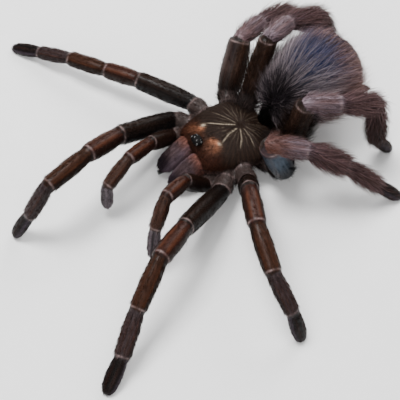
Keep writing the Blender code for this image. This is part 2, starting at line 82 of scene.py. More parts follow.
LEG_ROOT = {
    "palp": (Vector((11.8, -20.2, 6.8)), 22),
    "leg_1": (Vector((17.5, -17.2, 8.0)), 42),
    "leg_2": (Vector((19.6, -8.2, 9.8)), 76),
    "leg_3": (Vector((20.0, 5.6, 8.5)), 113),
    "leg_4": (Vector((13.6, 11.0, 9.6)), 140),
}
SEGMENT_NAMES = ("femur", "patella", "tibia", "metatarsus", "tarsus")
PALP_NAMES = ("femur", "patella", "tibia", "tarsus")
SEGMENT_LENGTHS = {
    "palp": (17.0, 10.5, 11.2, 10.5),
    "leg_1": (27.0, 14.5, 17.0, 15.0, 11.5),
    "leg_2": (22.0, 13.0, 16.0, 14.5, 12.0),
    "leg_3": (19.0, 12.5, 15.0, 15.0, 10.5),
    "leg_4": (24.0, 11.5, 13.0, 20.0, 10.5),
}
# Width and height over the short hair.
SEGMENT_SIZES = {
    "palp": ((5.2, 5.8), (5.2, 5.4), (4.7, 4.7), (4.4, 4.0)),
    "leg_1": ((6.8, 7.5), (6.6, 6.6), (5.9, 5.7), (5.7, 4.6), (5.3, 4.0)),
    "leg_2": ((6.5, 7.2), (6.4, 6.4), (5.9, 5.5), (5.4, 4.5), (5.2, 4.0)),
    "leg_3": ((8.4, 8.6), (6.4, 6.5), (6.2, 6.2), (5.2, 4.9), (4.9, 4.2)),
    "leg_4": ((6.8, 7.4), (6.2, 6.4), (6.2, 6.2), (5.8, 5.6), (4.8, 4.2)),
}
# Heading of each segment from straight ahead, and its pitch above level, in degrees.
STANCE = {
    ("palp", "left"): ((22, 28, 33, 50), (52, 15, -50, -64)),
    ("palp", "right"): ((-29, -21, -19, -17), (38, 8, -27, -85)),
    ("leg_1", "left"): ((33, 32, 36, 41, 35), (24, 8, -25, -30)),
    ("leg_1", "right"): ((-15, -21, -18, 10, 17), (26, 15, -2, -60)),
    ("leg_2", "left"): ((60, 71, 79, 103, 107), (48, -1, -14, -49)),
    ("leg_2", "right"): ((54, 55, 57, 57, 54), (4, -6, -8, -16)),
    ("leg_3", "left"): ((181, 151, 147, 149, 151), (110, -11, -28, -41)),
    ("leg_3", "right"): ((141, 156, 171, 171, 171), (52, -6, -17, -50.5)),
    ("leg_4", "left"): ((150, 158, 167, 168, 173), (80, -6, -16, -82)),
    ("leg_4", "right"): ((162, 158, 185, 174, 174), (69, -7, -10, -73)),
}
COXA_PITCH = 4
COXA_LENGTH = 10.5
COXA_SIZE = 6.8
PALP_COXA_SHARE = 0.84
TROCHANTER_LENGTH = 5.0
FOOT_CUT = 0.35
TOE_END = 0.56

# Distance along a segment and the share of its size there.
PROFILES = {
    "coxa": ((0.0, 0.5), (0.4, 0.96), (0.85, 1.0), (1.0, 0.88)),
    "trochanter": ((0.0, 0.84), (0.4, 1.0), (0.8, 1.0), (1.0, 0.84)),
    "limb": ((0.0, 0.86), (0.1, 0.93), (0.4, 1.04), (0.7, 1.0), (0.9, 0.98), (0.965, 1.0),
             (1.0, 0.9)),
    "tarsus": ((0.0, 0.84), (0.15, 0.98), (0.5, 1.07), (0.8, 0.95), (0.94, 0.74), (1.0, 0.5)),
    "pedicel": ((0.0, 1.2), (0.5, 0.85), (1.0, 1.2)),
    "spinneret": ((0.0, 1.0), (0.34, 0.95), (0.38, 0.8), (0.44, 0.88), (0.68, 0.8), (0.72, 0.62),
                  (0.8, 0.66), (1.0, 0.3)),
}
COAT_DEPTH = 0.12

# Short hair: how thickly it stands and its length, both as shares.
LEG_COAT = {
    "coxa": (1.0, 1.5),
    "trochanter": (0.9, 1.1),
    "femur": (0.8, 1.0),
    "patella": (0.7, 0.8),
    "tibia": (1.0, 1.0),
    "metatarsus": (1.2, 1.15),
    "tarsus": (1.5, 0.7),
    "pedicel": (2.5, 2.2),
    "body wall": (0.5, 1.5),
    "spinneret": (5.0, 1.4),
}
BARE = (0.0, 0.9)
# Long hair of the hind legs and the waist: how thickly it stands, its length, how smoky.
BRUSHES = {
    "patella": (0.45, 0.65, 0.45),
    "tibia": (1.0, 1.0, 1.0),
    "metatarsus": (0.9, 0.9, 1.0),
    "tarsus": (0.15, 0.3, 0.6),
    "femur": (0.1, 0.55, 0.0),
    "trochanter": (0.8, 0.7, 0.0),
    "coxa": (0.9, 0.65, 0.0),
    "pedicel": (9.0, 1.25, 0.0),
}
NO_BRUSH = (0.0, 0.3, 0.0)
REAR_FROM = -4.0           # behind it, the body's short hair goes with the hind legs' piece

# ---------------------------------------------------------------- the body's measures

CARAPACE_FRONT = -18.8
CARAPACE_REAR = 8.8
CARAPACE_WIDEST = -2.0
CARAPACE_HALF_WIDTH = 14.2
CLYPEUS_HALF_WIDTH = 9.4
CARAPACE_FLOOR = 9.4
CARAPACE_RIM = 1.3
CARAPACE_REAR_RISE = 2.2
CAPUT_REAR = -11.0
CLYPEUS_ROUNDING = 2.2
CAPUT_TOP = 16.2
THORAX_TOP = 15.3
CLYPEUS_TOP = 13.4
VELVET_DEPTH = 0.25
BODY_WALL_AT = Vector((0.0, (CARAPACE_FRONT + CARAPACE_REAR) / 2 + 1.5, 8.1))
BODY_WALL_SIZE = Vector((12.6, 11.8, 2.6))
STERNUM_AT = Vector((0.0, -3.0, 6.4))
STERNUM_SIZE = Vector((6.6, 8.6, 2.9))
EYE_MOUND_AT = Vector((0.0, -16.9, 16.1))
EYE_MOUND_SIZE = Vector((2.5, 1.8, 1.1))
EYE_ROWS = (
    # sideways, forwards and up from the mound's middle, radius
    (0.75, 0.45, 0.85, 0.50),
    (1.85, 0.95, 0.35, 0.48),
    (1.85, -0.65, 0.40, 0.45),
    (1.15, -0.75, 0.70, 0.32),
)
CHELICERA_MIDDLE = 4.1
CHELICERA_RINGS = (
    # upper edge along the body and up, lower edge along the body and up, width
    (-17.4, 13.3, -12.8, 5.7, 7.8),
    (-20.8, 12.5, -14.9, 4.7, 8.1),
    (-24.6, 10.2, -18.0, 3.8, 8.1),
    (-27.6, 7.3, -21.4, 3.2, 7.9),
    (-29.3, 4.9, -25.0, 2.9, 7.0),
    (-29.8, 3.8, -27.9, 2.8, 4.4),
)
FANG_ROOT = Vector((3.9, -30.1, 1.55))
FANG_LENGTH = 8.0
FANG_RADIUS = 1.0
FANG_SAG = 0.25
FANG_TIP = 0.12
JAW_HAIR_FROM = -17.5
CLAW_LENGTH = 1.3
CLAW_RADIUS = 0.2
CLAW_TIP = 0.03
CLAW_APART = 0.45
CLAW_ARCH = 0.35
CLAW_LOWEST = 0.3
PEDICEL_RADIUS = 2.0
PEDICEL_COAT = 0.2
PEDICEL_AT = Vector((0.0, 7.0, 8.0))
PEDICEL_END = Vector((-0.4, 16.0, 12.4))
ABDOMEN_AT = Vector((-2.2, 28.8, 19.8))
ABDOMEN_SIZE = Vector((14.2, 18.6, 14.3))
ABDOMEN_TILT = 15.0
ABDOMEN_YAW = 6.0
ABDOMEN_EGG = 0.12
ABDOMEN_COAT = 1.2
SPINNERET_AT = Vector((2.4, 43.4, 11.6))
SPINNERET_MIDDLE = -2.2
SPINNERET_LENGTH = 8.5
SPINNERET_RADIUS = 1.15
SPINNERET_COAT = 0.1
SPINNERET_SPREAD = 16.0
SPINNERET_PITCH = -24.0

# Rings along each shape and corners round it.
FINENESS = {
    "limb": (12, 22),
    "egg": (32, 48),
    "shield": (170, 240),
    "jaw": (40, 44),
    "fang": (20, 20),
    "claw": (8, 8),
    "eye mound": (24, 40),
    "eye": (16, 24),
}

# ---------------------------------------------------------------- hair, grain and studio

ROOT_DEPTH = 0.05          # a strand's root under the skin
HAIR_FLOOR = 0.06          # lowest height of a strand
STRAND_TAPER = 0.85        # share of its width that a strand loses up to its tip
STRAND_THICKNESS = 0.35    # its half thickness as a share of its width
LENGTH_SPREAD = 0.22       # how unlike each other strands are in length,
LIE_SPREAD = 0.16          # in the way they lie,
DROOP_SPREAD = 0.08        # in the angle of their tips
SWAY_SPREAD = 0.1          # and in their bend to the side
BAKE_PATCH = 0.003         # size of a strand's place on the bake
BEND_STEPS = 12            # steps in which a strand's bend is added up
MOTTLE = 0.25              # how far the mottling lightens and darkens
MOTTLE_MM = 1.6            # size of its patches
GRAIN_DEPTH_MM = 0.08
# Each light's place in metres, its size in metres and its share of the key light's power.
LIGHTS = {
    "key_light": ((-0.2, -0.12, 0.72), 0.3, 1.0),
    "fill_light": ((0.5, -0.4, 0.5), 0.6, 0.35),
    "back_light": ((-0.35, 0.5, 0.5), 0.4, 0.5),
}
FLOOR_RADIUS = 2.5
SENSOR_WIDTH = 36.0
CAMERA_AIM = Vector((12.1, -22.2, 0.0))


# ---------------------------------------------------------------- colours and materials

def hex_colour(text):
    """Turn an sRGB hex colour into linear red, green and blue."""
    values = [int(text[place:place + 2], 16) / 255 for place in (1, 3, 5)]
    return tuple(value / 12.92 if value <= 0.04045 else ((value + 0.055) / 1.055) ** 2.4
                 for value in values)


def add_node(tree, kind, inputs, **settings):
    """Add a node, set its properties, and give each input its value or a link."""
    node = tree.nodes.new(kind)
    for name, value in settings.items():
        setattr(node, name, value)
    for name, value in inputs.items():
        if isinstance(value, bpy.types.NodeSocket):
            tree.links.new(value, node.inputs[name])
        else:
            node.inputs[name].default_value = value
    return node


def new_material(name):
    """Add an empty node material: the material and its node tree."""
    material = bpy.data.materials.new(name)
    material.use_nodes = True
    material.node_tree.nodes.clear()
    return material, material.node_tree


def set_surface(tree, inputs):
    """Add the shader and join it to the material's output."""
    shader = add_node(tree, "ShaderNodeBsdfPrincipled", inputs)
    add_node(tree, "ShaderNodeOutputMaterial", {"Surface": shader.outputs["BSDF"]})


def marked_material(name, grain_mm, gloss):
    """A surface that takes its colour from its markings, mottled and with a fine grain."""
    material, tree = new_material(name)
    markings = add_node(tree, "ShaderNodeAttribute", {}, attribute_name="marking")
    place = add_node(tree, "ShaderNodeTexCoord", {}).outputs["Object"]
    patches = add_node(tree, "ShaderNodeTexNoise", {
        "Scale": 1 / (MOTTLE_MM * MM), "Detail": 3.0, "Vector": place})
    span = add_node(tree, "ShaderNodeMapRange", {
        "To Min": 1 - MOTTLE, "To Max": 1 + MOTTLE, "Value": patches.outputs["Fac"]})
    colour = add_node(tree, "ShaderNodeVectorMath", {
        0: markings.outputs["Color"], 1: span.outputs["Result"]}, operation="MULTIPLY")
    grain = add_node(tree, "ShaderNodeTexNoise", {
        "Scale": 1 / (grain_mm * MM), "Detail": 4.0, "Vector": place})
    bump = add_node(tree, "ShaderNodeBump", {
        "Strength": 0.6, "Distance": GRAIN_DEPTH_MM * MM, "Height": grain.outputs["Fac"]})
    set_surface(tree, {**gloss, "Base Color": colour.outputs["Vector"],
                       "Normal": bump.outputs["Normal"]})
    return material


def skin_material():
    """Chitin under thin hair: a satin surface with a fine pitted grain."""
    return marked_material("satin_chitin", 0.35, {"Roughness": 0.38, "Specular IOR Level": 0.12})


def shield_material():
    """Chitin under short velvet: nearly matt, with a fine grain."""
    return marked_material("velvet_chitin", 0.3, {"Roughness": 0.6, "Specular IOR Level": 0.08})


def hair_material():
    """Hair: each strand takes the colour of the place it grows from, with a soft gloss."""
    material, tree = new_material("spider_hair")
    markings = add_node(tree, "ShaderNodeAttribute", {}, attribute_name="marking")
    set_surface(tree, {"Roughness": 0.5, "Specular IOR Level": 0.05,
                       "Base Color": markings.outputs["Color"]})
    return material


def paper_material():
    """Matt studio paper: pale and even, with faint fibres."""
    material, tree = new_material("matt_studio_paper")
    place = add_node(tree, "ShaderNodeTexCoord", {}).outputs["Object"]
    fibre = add_node(tree, "ShaderNodeTexNoise", {"Scale": 1 / (8 * MM), "Vector": place})
    tones = add_node(tree, "ShaderNodeMapRange", {
        "To Min": 0.93, "To Max": 0.96, "Value": fibre.outputs["Fac"]})
    set_surface(tree, {"Roughness": 0.9, "Base Color": tones.outputs["Result"]})
    return material


def horn_material(name, roughness):
    """Polished black chitin, as on eyes, claws and fangs, faintly uneven."""
    material, tree = new_material(name)
    place = add_node(tree, "ShaderNodeTexCoord", {}).outputs["Object"]
    streaks = add_node(tree, "ShaderNodeTexNoise", {"Scale": 1 / (0.5 * MM), "Vector": place})
    tones = add_node(tree, "ShaderNodeValToRGB", {"Fac": streaks.outputs["Fac"]})
    for stop, share in zip(tones.color_ramp.elements, (0.6, 1.5)):
        stop.color = (*(palette()["horn"] * share), 1.0)
    set_surface(tree, {"Roughness": roughness, "IOR": 1.56, "Coat Weight": 0.3,
                       "Coat Roughness": 0.06, "Base Color": tones.outputs["Color"]})
    return material


# ---------------------------------------------------------------- shared shape helpers

def loft(bm, stations, place, sides):
    """Make a closed body through rings: place(station, angle) gives each corner."""
    first = bmesh.ops.create_circle(bm, cap_ends=True, segments=sides, radius=1.0)["verts"]
    angles = {corner: 2 * math.pi * number / sides for number, corner in enumerate(first)}
    for corner, angle in angles.items():
        corner.co = place(stations[0], angle)
    edges = list({edge for corner in first for edge in corner.link_edges})
    for station in stations[1:]:
        made = bmesh.ops.extrude_edge_only(bm, edges=edges)["geom"]
        grown = {}
        for corner in made:
            if isinstance(corner, bmesh.types.BMVert):
                near = [edge.other_vert(corner) for edge in corner.link_edges]
                grown[corner] = next(angles[parent] for parent in near if parent in angles)
                corner.co = place(station, grown[corner])
        edges = [edge for edge in made if isinstance(edge, bmesh.types.BMEdge)
                 and all(corner in grown for corner in edge.verts)]
        angles = grown
    bmesh.ops.contextual_create(bm, geom=edges)


def ring_point(ring, angle):
    """A corner of an oval ring."""
    centre, level, upright, half_width, half_height = ring
    across_by = half_width * math.cos(angle)
    return centre + level * across_by + upright * (half_height * math.sin(angle))


def in_order(bm):
    """Number corners by their places and faces by their corners.

    The operators leave them in an order that changes from run to run, and hair picks its
    roots by number.
    """
    bm.verts.sort(key=lambda corner: corner.co.dot(ORDER))
    bm.verts.index_update()
    count = len(bm.verts)

    def rank(face):
        """A number of the face's own, from its three lowest corners."""
        first, second, third = sorted(corner.index for corner in face.verts)[:3]
        return (first * count + second) * count + third

    bm.faces.sort(key=rank)


def mesh_from(name, bm):
    """Set a shape in millimetres down at the body's place, as a smooth mesh in metres."""
    bmesh.ops.recalc_face_normals(bm, faces=bm.faces)
    in_order(bm)
    bmesh.ops.translate(bm, verts=bm.verts, vec=BODY_AT)
    bmesh.ops.scale(bm, verts=bm.verts, vec=(MM, MM, MM))
    mesh = bpy.data.meshes.new(name)
    bm.to_mesh(mesh)
    bm.free()
    mesh.shade_smooth()
    return mesh


def add_piece(name, mesh, materials, stands_for=()):
    """Link a finished piece, fix it to the body and say what it stands for."""
    for material in materials:
        mesh.materials.append(material)
    piece = bpy.data.objects.new(name, mesh)
    bpy.context.scene.collection.objects.link(piece)
    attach(piece, "root")
    if stands_for:
        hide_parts(*stands_for)


def blend(first, second, share):
    """Mix two colours, or rows of them, by a share or a column of shares."""
    share = np.clip(np.asarray(share, dtype=float), 0.0, 1.0)[..., None]
    return np.asarray(first) * (1 - share) + np.asarray(second) * share


def bump_curve(value, middle, reach):
    """A soft bump that is 1 in the middle and 0 beyond its reach."""
    return np.exp(-((value - middle) / reach) ** 2)


def waves(first, second):
    """Two waves laid over each other, for uneven streaks from -1 to 1."""
    return np.sin(first) * 0.5 + np.sin(second) * 0.5


def step_curve(value, start, end):
    """A smooth step from 0 at the start to 1 at the end."""
    share = np.clip((value - start) / (end - start), 0.0, 1.0)
    return share * share * (3 - 2 * share)


# ---------------------------------------------------------------- limbs

def direction(side, heading, pitch):
    """Unit vector of a segment: heading from straight ahead to its own side, pitch up."""
    turn = math.radians(heading)
    lift = math.radians(pitch)
    return Vector((side * math.sin(turn) * math.cos(lift),
                   -math.cos(turn) * math.cos(lift),
                   math.sin(lift)))


def across(side, heading):
    """Level unit vector at right angles to a segment."""
    turn = math.radians(heading)
    return Vector((math.cos(turn), side * math.sin(turn), 0.0))


def toe_pitch(height, length, radius):
    """Pitch that puts the lower edge of the toe just under the floor."""
    reach = math.hypot(length, radius)
    return -math.degrees(math.asin((height + FOOT_CUT) / reach) - math.atan2(radius, length))


class Tube:
    """One straight length of a limb, or the waist or a spinneret."""

    def __init__(self, limb, side, kind, start, way, length, level, size, profile, strip):
        self.limb = limb
        self.side = side
        self.kind = kind
        self.start = start
        self.way = way
        self.length = length
        self.level = (level - way * level.dot(way)).normalized()
        self.upright = way.cross(self.level)
        self.size = size
        self.shares = np.array([share for share, _ in profile])
        self.cores = np.array([core for _, core in profile])
        self.strip = strip      # start and end of its strip along the whole limb

    def rings(self, steps):
        """Rings for a loft, evenly along the tube."""
        made = []
        for share in np.linspace(0.0, 1.0, steps):
            core = float(np.interp(share, self.shares, self.cores))
            made.append((self.start + self.way * (self.length * share), self.level,
                         self.upright, self.size[0] * core, self.size[1] * core))
        return made

    def measure(self, points):
        """Share along the tube, angle from its top and distance from its surface."""
        offset = points - np.array(self.start)
        along = offset @ np.array(self.way) / self.length
        sideways = offset @ np.array(self.level)
        upwards = offset @ np.array(self.upright)
        held = np.clip(along, 0.0, 1.0)
        core = np.interp(held, self.shares, self.cores)
        reach = np.hypot(sideways, upwards)
        turn = np.arctan2(sideways / self.size[0], upwards / self.size[1])
        wall = core * np.hypot(self.size[0] * np.sin(turn), self.size[1] * np.cos(turn))
        gap = np.abs(along - held) * self.length
        return held, turn, np.abs(reach - wall) + gap * 1.5


class Egg:
    """The abdomen, the sternum or the body wall as a swollen ball."""

    def __init__(self, kind, matrix, size, egg):
        self.limb = "body"
        self.side = 0
        self.kind = kind
        self.matrix = matrix
        self.inverse = np.array(matrix.inverted())
        self.size = np.array(size)
        self.egg = egg
        self.level, self.way, self.upright = (matrix.to_3x3().col[place].copy()
                                              for place in range(3))
        self.length = size[1] * 2
        self.strip = (0.0, 1.0)

    def shape(self, bm):
        """Add the swollen ball, its poles fore and aft."""
        rings, sides = FINENESS["egg"]
        upended = Matrix.Rotation(math.radians(-90), 4, "X")
        made = bmesh.ops.create_uvsphere(bm, u_segments=sides, v_segments=rings, radius=1.0,
                                         matrix=upended)["verts"]
        for corner in made:
            swell = 1 + self.egg * corner.co.y
            corner.co = Vector((corner.co.x * swell * self.size[0],
                                corner.co.y * self.size[1],
                                corner.co.z * swell * self.size[2]))
        bmesh.ops.transform(bm, matrix=self.matrix, verts=made)

    def measure(self, points):
        """Share from front to rear, angle from the top and distance from the surface."""
        local = points @ self.inverse[:3, :3].T + self.inverse[:3, 3]
        unit = local / self.size
        swell = 1 + self.egg * np.clip(unit[:, 1], -1.0, 1.0)
        unit[:, 0] /= swell
        unit[:, 2] /= swell
        reach = np.linalg.norm(unit, axis=1)
        turn = np.arctan2(unit[:, 0], unit[:, 2])
        share = np.clip(unit[:, 1] / np.maximum(reach, 1e-6) * 0.5 + 0.5, 0.0, 1.0)
        near = np.linalg.norm(local, axis=1) / np.maximum(reach, 1e-6)
        return share, turn, np.abs(reach - 1.0) * near


def limb_tubes(limb, side_name):
    """The tubes of one limb's bare skin, from the coxa's inner end to the toe."""
    side = SIDES[side_name]
    root, coxa_heading = LEG_ROOT[limb]
    headings, pitches = STANCE[(limb, side_name)]
    segments = PALP_NAMES if limb == "palp" else SEGMENT_NAMES
    coxa_size = COXA_SIZE * (PALP_COXA_SHARE if limb == "palp" else 1.0)
    sizes = ((coxa_size, coxa_size),) * 2 + SEGMENT_SIZES[limb]
    lengths = (COXA_LENGTH, TROCHANTER_LENGTH, *SEGMENT_LENGTHS[limb])
    toe_radius = sizes[-1][1] / 2 * TOE_END
    start = Vector((root.x * side, root.y, root.z)) \
        - direction(side, coxa_heading, COXA_PITCH) * (COXA_LENGTH + TROCHANTER_LENGTH)
    tubes = []
    for number, kind in enumerate(("coxa", "trochanter", *segments)):
        length = lengths[number]
        heading = (coxa_heading, coxa_heading, *headings)[number]
        if kind == "tarsus" and limb != "palp":
            pitch = toe_pitch(start.z, length, toe_radius)
        else:
            pitch = (COXA_PITCH, COXA_PITCH, *pitches)[number]
        way = direction(side, heading, pitch)
        halves = tuple(size / 2 - COAT_DEPTH for size in sizes[number])
        strip = tuple(sum(lengths[:place]) / sum(lengths) for place in (number, number + 1))
        tubes.append(Tube(limb, side, kind, start, way, length, across(side, heading), halves,
                          PROFILES.get(kind, PROFILES["limb"]), strip))
        start = start + way * length
    return tubes


def abdomen_matrix():
    """Place and tilt of the abdomen."""
    yaw = Matrix.Rotation(math.radians(ABDOMEN_YAW), 4, "Z")
    tilt = Matrix.Rotation(math.radians(ABDOMEN_TILT), 4, "X")
    return Matrix.Translation(ABDOMEN_AT) @ yaw @ tilt


def spinneret_tube(side):
    """One of the two long spinnerets."""
    heading = 180 - SPINNERET_SPREAD
    start = Vector((SPINNERET_AT.x * side + SPINNERET_MIDDLE, *SPINNERET_AT.yz))
    radius = SPINNERET_RADIUS - SPINNERET_COAT
    return Tube("body", side, "spinneret", start, direction(side, heading, SPINNERET_PITCH),
                SPINNERET_LENGTH, across(side, heading), (radius, radius),
                PROFILES["spinneret"], (0.0, 1.0))


def body_regions():
    """Every region of the flesh: limbs first, then the body's own."""
    regions = []
    for limb, side_name in STANCE:
        regions += limb_tubes(limb, side_name)
    run = PEDICEL_END - PEDICEL_AT
    radius = PEDICEL_RADIUS - PEDICEL_COAT
    regions.append(Tube("body", 0, "pedicel", PEDICEL_AT, run.normalized(), run.length,
                        Vector((1.0, 0.0, 0.0)), (radius, radius), PROFILES["pedicel"],
                        (0.0, 1.0)))
    regions += [spinneret_tube(1), spinneret_tube(-1)]
    regions.append(Egg("abdomen", abdomen_matrix(), ABDOMEN_SIZE - Vector((ABDOMEN_COAT,) * 3),
                       ABDOMEN_EGG))
    regions.append(Egg("sternum", Matrix.Translation(STERNUM_AT), STERNUM_SIZE, 0.0))
    regions.append(Egg("body wall", Matrix.Translation(BODY_WALL_AT), BODY_WALL_SIZE, 0.0))
    return regions


REGIONS = body_regions()


def locate(points):
    """For points in the body's millimetres: nearest region, share along it and angle."""
    best = np.full(len(points), 1e9)
    found = np.zeros(len(points), dtype=int)
    share = np.zeros(len(points))
    turn = np.zeros(len(points))
    for number, region in enumerate(REGIONS):
        along, angle, away = region.measure(points)
        nearer = away < best
        best[nearer] = away[nearer]
        found[nearer] = number
        share[nearer] = along[nearer]
        turn[nearer] = angle[nearer]
    return found, share, turn


def body_points(coordinates):
    """Turn mesh coordinates in metres into the body's millimetres."""
    return coordinates / MM - np.array(BODY_AT)


# ---------------------------------------------------------------- markings

# Base colour, colour of the sides and its strength, strength of the bald stripes.
LIMB_LOOK = {
    ("palp", "femur"): ("palp_femur", "femur", 0.5, 0.0),
    ("palp", "patella"): ("patella", "patella_edge", 0.7, 0.5),
    ("palp", "tibia"): ("palp_tibia", "tibia_edge", 0.5, 0.35),
    ("palp", "tarsus"): ("palp_tarsus", "scopula", 0.5, 0.0),
    ("front", "femur"): ("femur", "femur_side", 0.5, 0.0),
    ("front", "patella"): ("patella", "patella_edge", 0.85, 0.55),
    ("front", "tibia"): ("tibia", "tibia_edge", 0.8, 0.4),
    ("front", "metatarsus"): ("metatarsus", "tibia_edge", 0.5, 0.25),
    ("front", "tarsus"): ("tarsus", "scopula", 0.8, 0.0),
    ("hind", "femur"): ("hind_femur", "femur", 0.7, 0.15),
    ("hind", "patella"): ("hind_patella", "hind_tibia", 0.6, 0.5),
    ("hind", "tibia"): ("hind_tibia", "tibia_edge", 0.4, 0.2),
    ("hind", "metatarsus"): ("hind_metatarsus", "tibia_edge", 0.3, 0.1),
    ("hind", "tarsus"): ("tarsus", "scopula", 0.7, 0.0),
}


def limb_group(region):
    """Which legs share their markings."""
    return {"palp": "palp", "leg_1": "front", "leg_2": "front"}.get(region.limb, "hind")


def bald_stripes(kind, top):
    """The two bare stripes along patella and tibia, by the angle from the segment's top."""
    if kind == "patella":
        return bump_curve(top, 0.46, 0.22)
    return bump_curve(top, 0.3, 0.13) * 0.7 + bump_curve(top, 0.82, 0.14)


def limb_colour(region, share, turn, look):
    """Markings of a limb segment: streaks along it, partly painted highlights along the hair, a
    narrow pale ring by its far end.
    """
    top = np.abs(turn)
    left = (1 - share) * region.length
    if region.kind in ("coxa", "trochanter"):
        colour = blend(look["coxa"], look["femur"], step_curve(top, 0.9, 1.6) * 0.6)
        return blend(colour, look["ring"], bump_curve(left, 0.8, 0.3) * 0.32)
    base, edge, edge_strength, stripe_strength = LIMB_LOOK[(limb_group(region), region.kind)]
    # Streaks along the segment: the hair tracts' own tone, strengthened with painted highlights
    # along the hair.
    streaks = waves(turn * 11 + share * 2, turn * 23 + 1 + share * 3)
    flank = bump_curve(top, 1.35, 0.35) if region.kind == "tarsus" else step_curve(top, 0.6, 1.15)
    colour = blend(look[base], look[edge], flank * edge_strength)
    if region.kind == "femur":
        stripe = bump_curve(top, 0, 1.0) * step_curve(share, -0.2, 0.9)
        colour = blend(colour, look["femur_top"], stripe)
    colour = colour * np.exp(0.6 * streaks)[:, None]
    if (region.limb, region.kind) == ("leg_3", "femur"):
        inner = step_curve(-turn * region.side, -0.4, 0.1) * (1.0 if region.side > 0 else 0.12)
        colour = blend(colour, look["bare_flank"] * (1 + 0.15 * streaks)[:, None], inner * 0.95)
        colour = blend(colour, look["bald"], inner * (1 - step_curve(left, 0.6, 3.0)) * 0.5)
        # Painted shade: the base of the third femora darkens to near black under the body.
        colour = blend(colour, look["femur"], (1 - step_curve(share, 0.15, 0.65)) * 0.85)
    if (region.limb, region.kind) == ("leg_3", "patella"):
        rust = 0.75 if region.side > 0 else 0.35
        colour = blend(colour, look["bald"], (1 - step_curve(share, 0.1, 0.6)) * rust)
    stripes = bald_stripes(region.kind, top) * step_curve(share, 0.04, 0.25) \
        * step_curve(left, 0.9, 2.5)
    colour = blend(colour, look["bald"], stripes * stripe_strength)
    if region.kind == "tarsus":
        oval = bump_curve(top, 0.42, 0.2) * bump_curve(share, 0.5, 0.4)
        colour = blend(colour, look["tarsus_oval"], oval * (region.limb != "palp"))
        return blend(colour, look["groove"], bump_curve(top, 0.0, 0.16) * 0.85)
    colour = blend(colour, look["groove"], (1 - step_curve(left, 0.05, 0.35)) * 0.45)
    ring = bump_curve(left, 0.7, 0.25) * (0.65 + 0.35 * np.sin(turn * 4 + region.length))
    return blend(colour, look["ring"], ring * 0.66)


def abdomen_colour(share, turn, look):
    """Black painted shade by the waist, steel blue on the back, smoky brown round the sides and
    rear.
    """
    top = np.abs(turn)
    colour = blend(look["abdomen"], look["abdomen_blue"],
                   bump_curve(share, 0.56, 0.19) * bump_curve(top, 0.0, 0.85))
    colour = blend(colour, look["abdomen_side"], step_curve(top, 0.7, 1.4) * 0.8)
    colour = blend(colour, look["abdomen_side"], step_curve(share, 0.62, 0.8) * 0.85)
    # Painted shade: the abdomen darkens to near black where it meets the waist.
    return blend(look["abdomen_waist_shade"], colour, step_curve(share, 0.14, 0.4))


def flesh_colours(points, look):
    """Colour of the skin, or of the hair rooted in it, at points in millimetres."""
    found, share, turn = locate(points)
    colours = np.zeros((len(points), 3))
    for number, region in enumerate(REGIONS):
        here = found == number
        if region.kind == "abdomen":
            colours[here] = abdomen_colour(share[here], turn[here], look)
        elif region.kind == "spinneret":
            colours[here] = look["abdomen_side"]
        elif region.limb == "body":
            colours[here] = look["underside"]
        else:
            colours[here] = limb_colour(region, share[here], turn[here], look)
    return colours, found, share, turn


def line_distance(x, y, line):
    """How far along a bent line a place is, as a share, and how far away from it."""
    best = np.full(np.shape(x), 1e9)
    share = np.zeros(np.shape(x))
    for number, ((ax, ay), (bx, by)) in enumerate(zip(line, line[1:])):
        run = ((x - ax) * (bx - ax) + (y - ay) * (by - ay)) / ((bx - ax) ** 2 + (by - ay) ** 2)
        run = np.clip(run, 0.0, 1.0)
        away = np.hypot(x - ax - run * (bx - ax), y - ay - run * (by - ay))
        share = np.where(away < best, (number + run) / (len(line) - 1), share)
        best = np.minimum(away, best)
    return share, best


# Furrows of the shield from the pit outwards: bent line, half width, strength of its pale
# hairs and depth. The two in front bound the head.
SHIELD_LINES = (
    (((-0.7, -1.4), (-2.8, -5.8), (-5.8, -11.2)), 0.16, 1.0, 0.55),
    (((0.7, -1.7), (2.0, -5.8), (5.2, -10.6)), 0.16, 0.8, 0.55),
    (((-1.2, -1.2), (-5.3, -3.2), (-10.0, -6.6)), 0.1, 0.35, 0.4),
    (((1.2, -1.0), (5.5, -2.9), (9.4, -5.6)), 0.11, 0.75, 0.4),
    (((-1.4, -0.2), (-6.0, -0.4), (-11.4, -1.4)), 0.09, 0.15, 0.35),
    (((1.4, -0.1), (5.8, 0.2), (10.6, -0.6)), 0.1, 0.45, 0.35),
    (((-1.2, 0.8), (-4.8, 2.4), (-8.6, 4.0)), 0.09, 0.12, 0.35),
    (((1.2, 0.8), (4.8, 2.6), (8.6, 4.2)), 0.1, 0.2, 0.35),
    (((-0.5, 1.4), (-1.8, 4.4), (-3.0, 7.6)), 0.09, 0.12, 0.25),
    (((0.5, 1.4), (1.6, 4.4), (3.0, 7.6)), 0.09, 0.15, 0.25),
)
# Pale fur behind the eyes: across, along, half sizes, colour and strength.
SHIELD_PATCHES = (
    (-4.2, -13.2, 0.9, 1.0, "patch", 0.8),
    (-5.0, -11.9, 0.6, 0.6, "cream", 0.7),
    (2.4, -12.7, 0.9, 0.9, "patch", 0.6),
    (4.0, -11.6, 1.1, 0.8, "patch", 0.8),
    (6.0, -12.9, 1.2, 1.4, "patch", 0.3),
    (-6.8, -15.0, 1.6, 1.6, "patch", 0.25),
    (4.6, -10.9, 0.7, 0.45, "cream", 0.5),
)


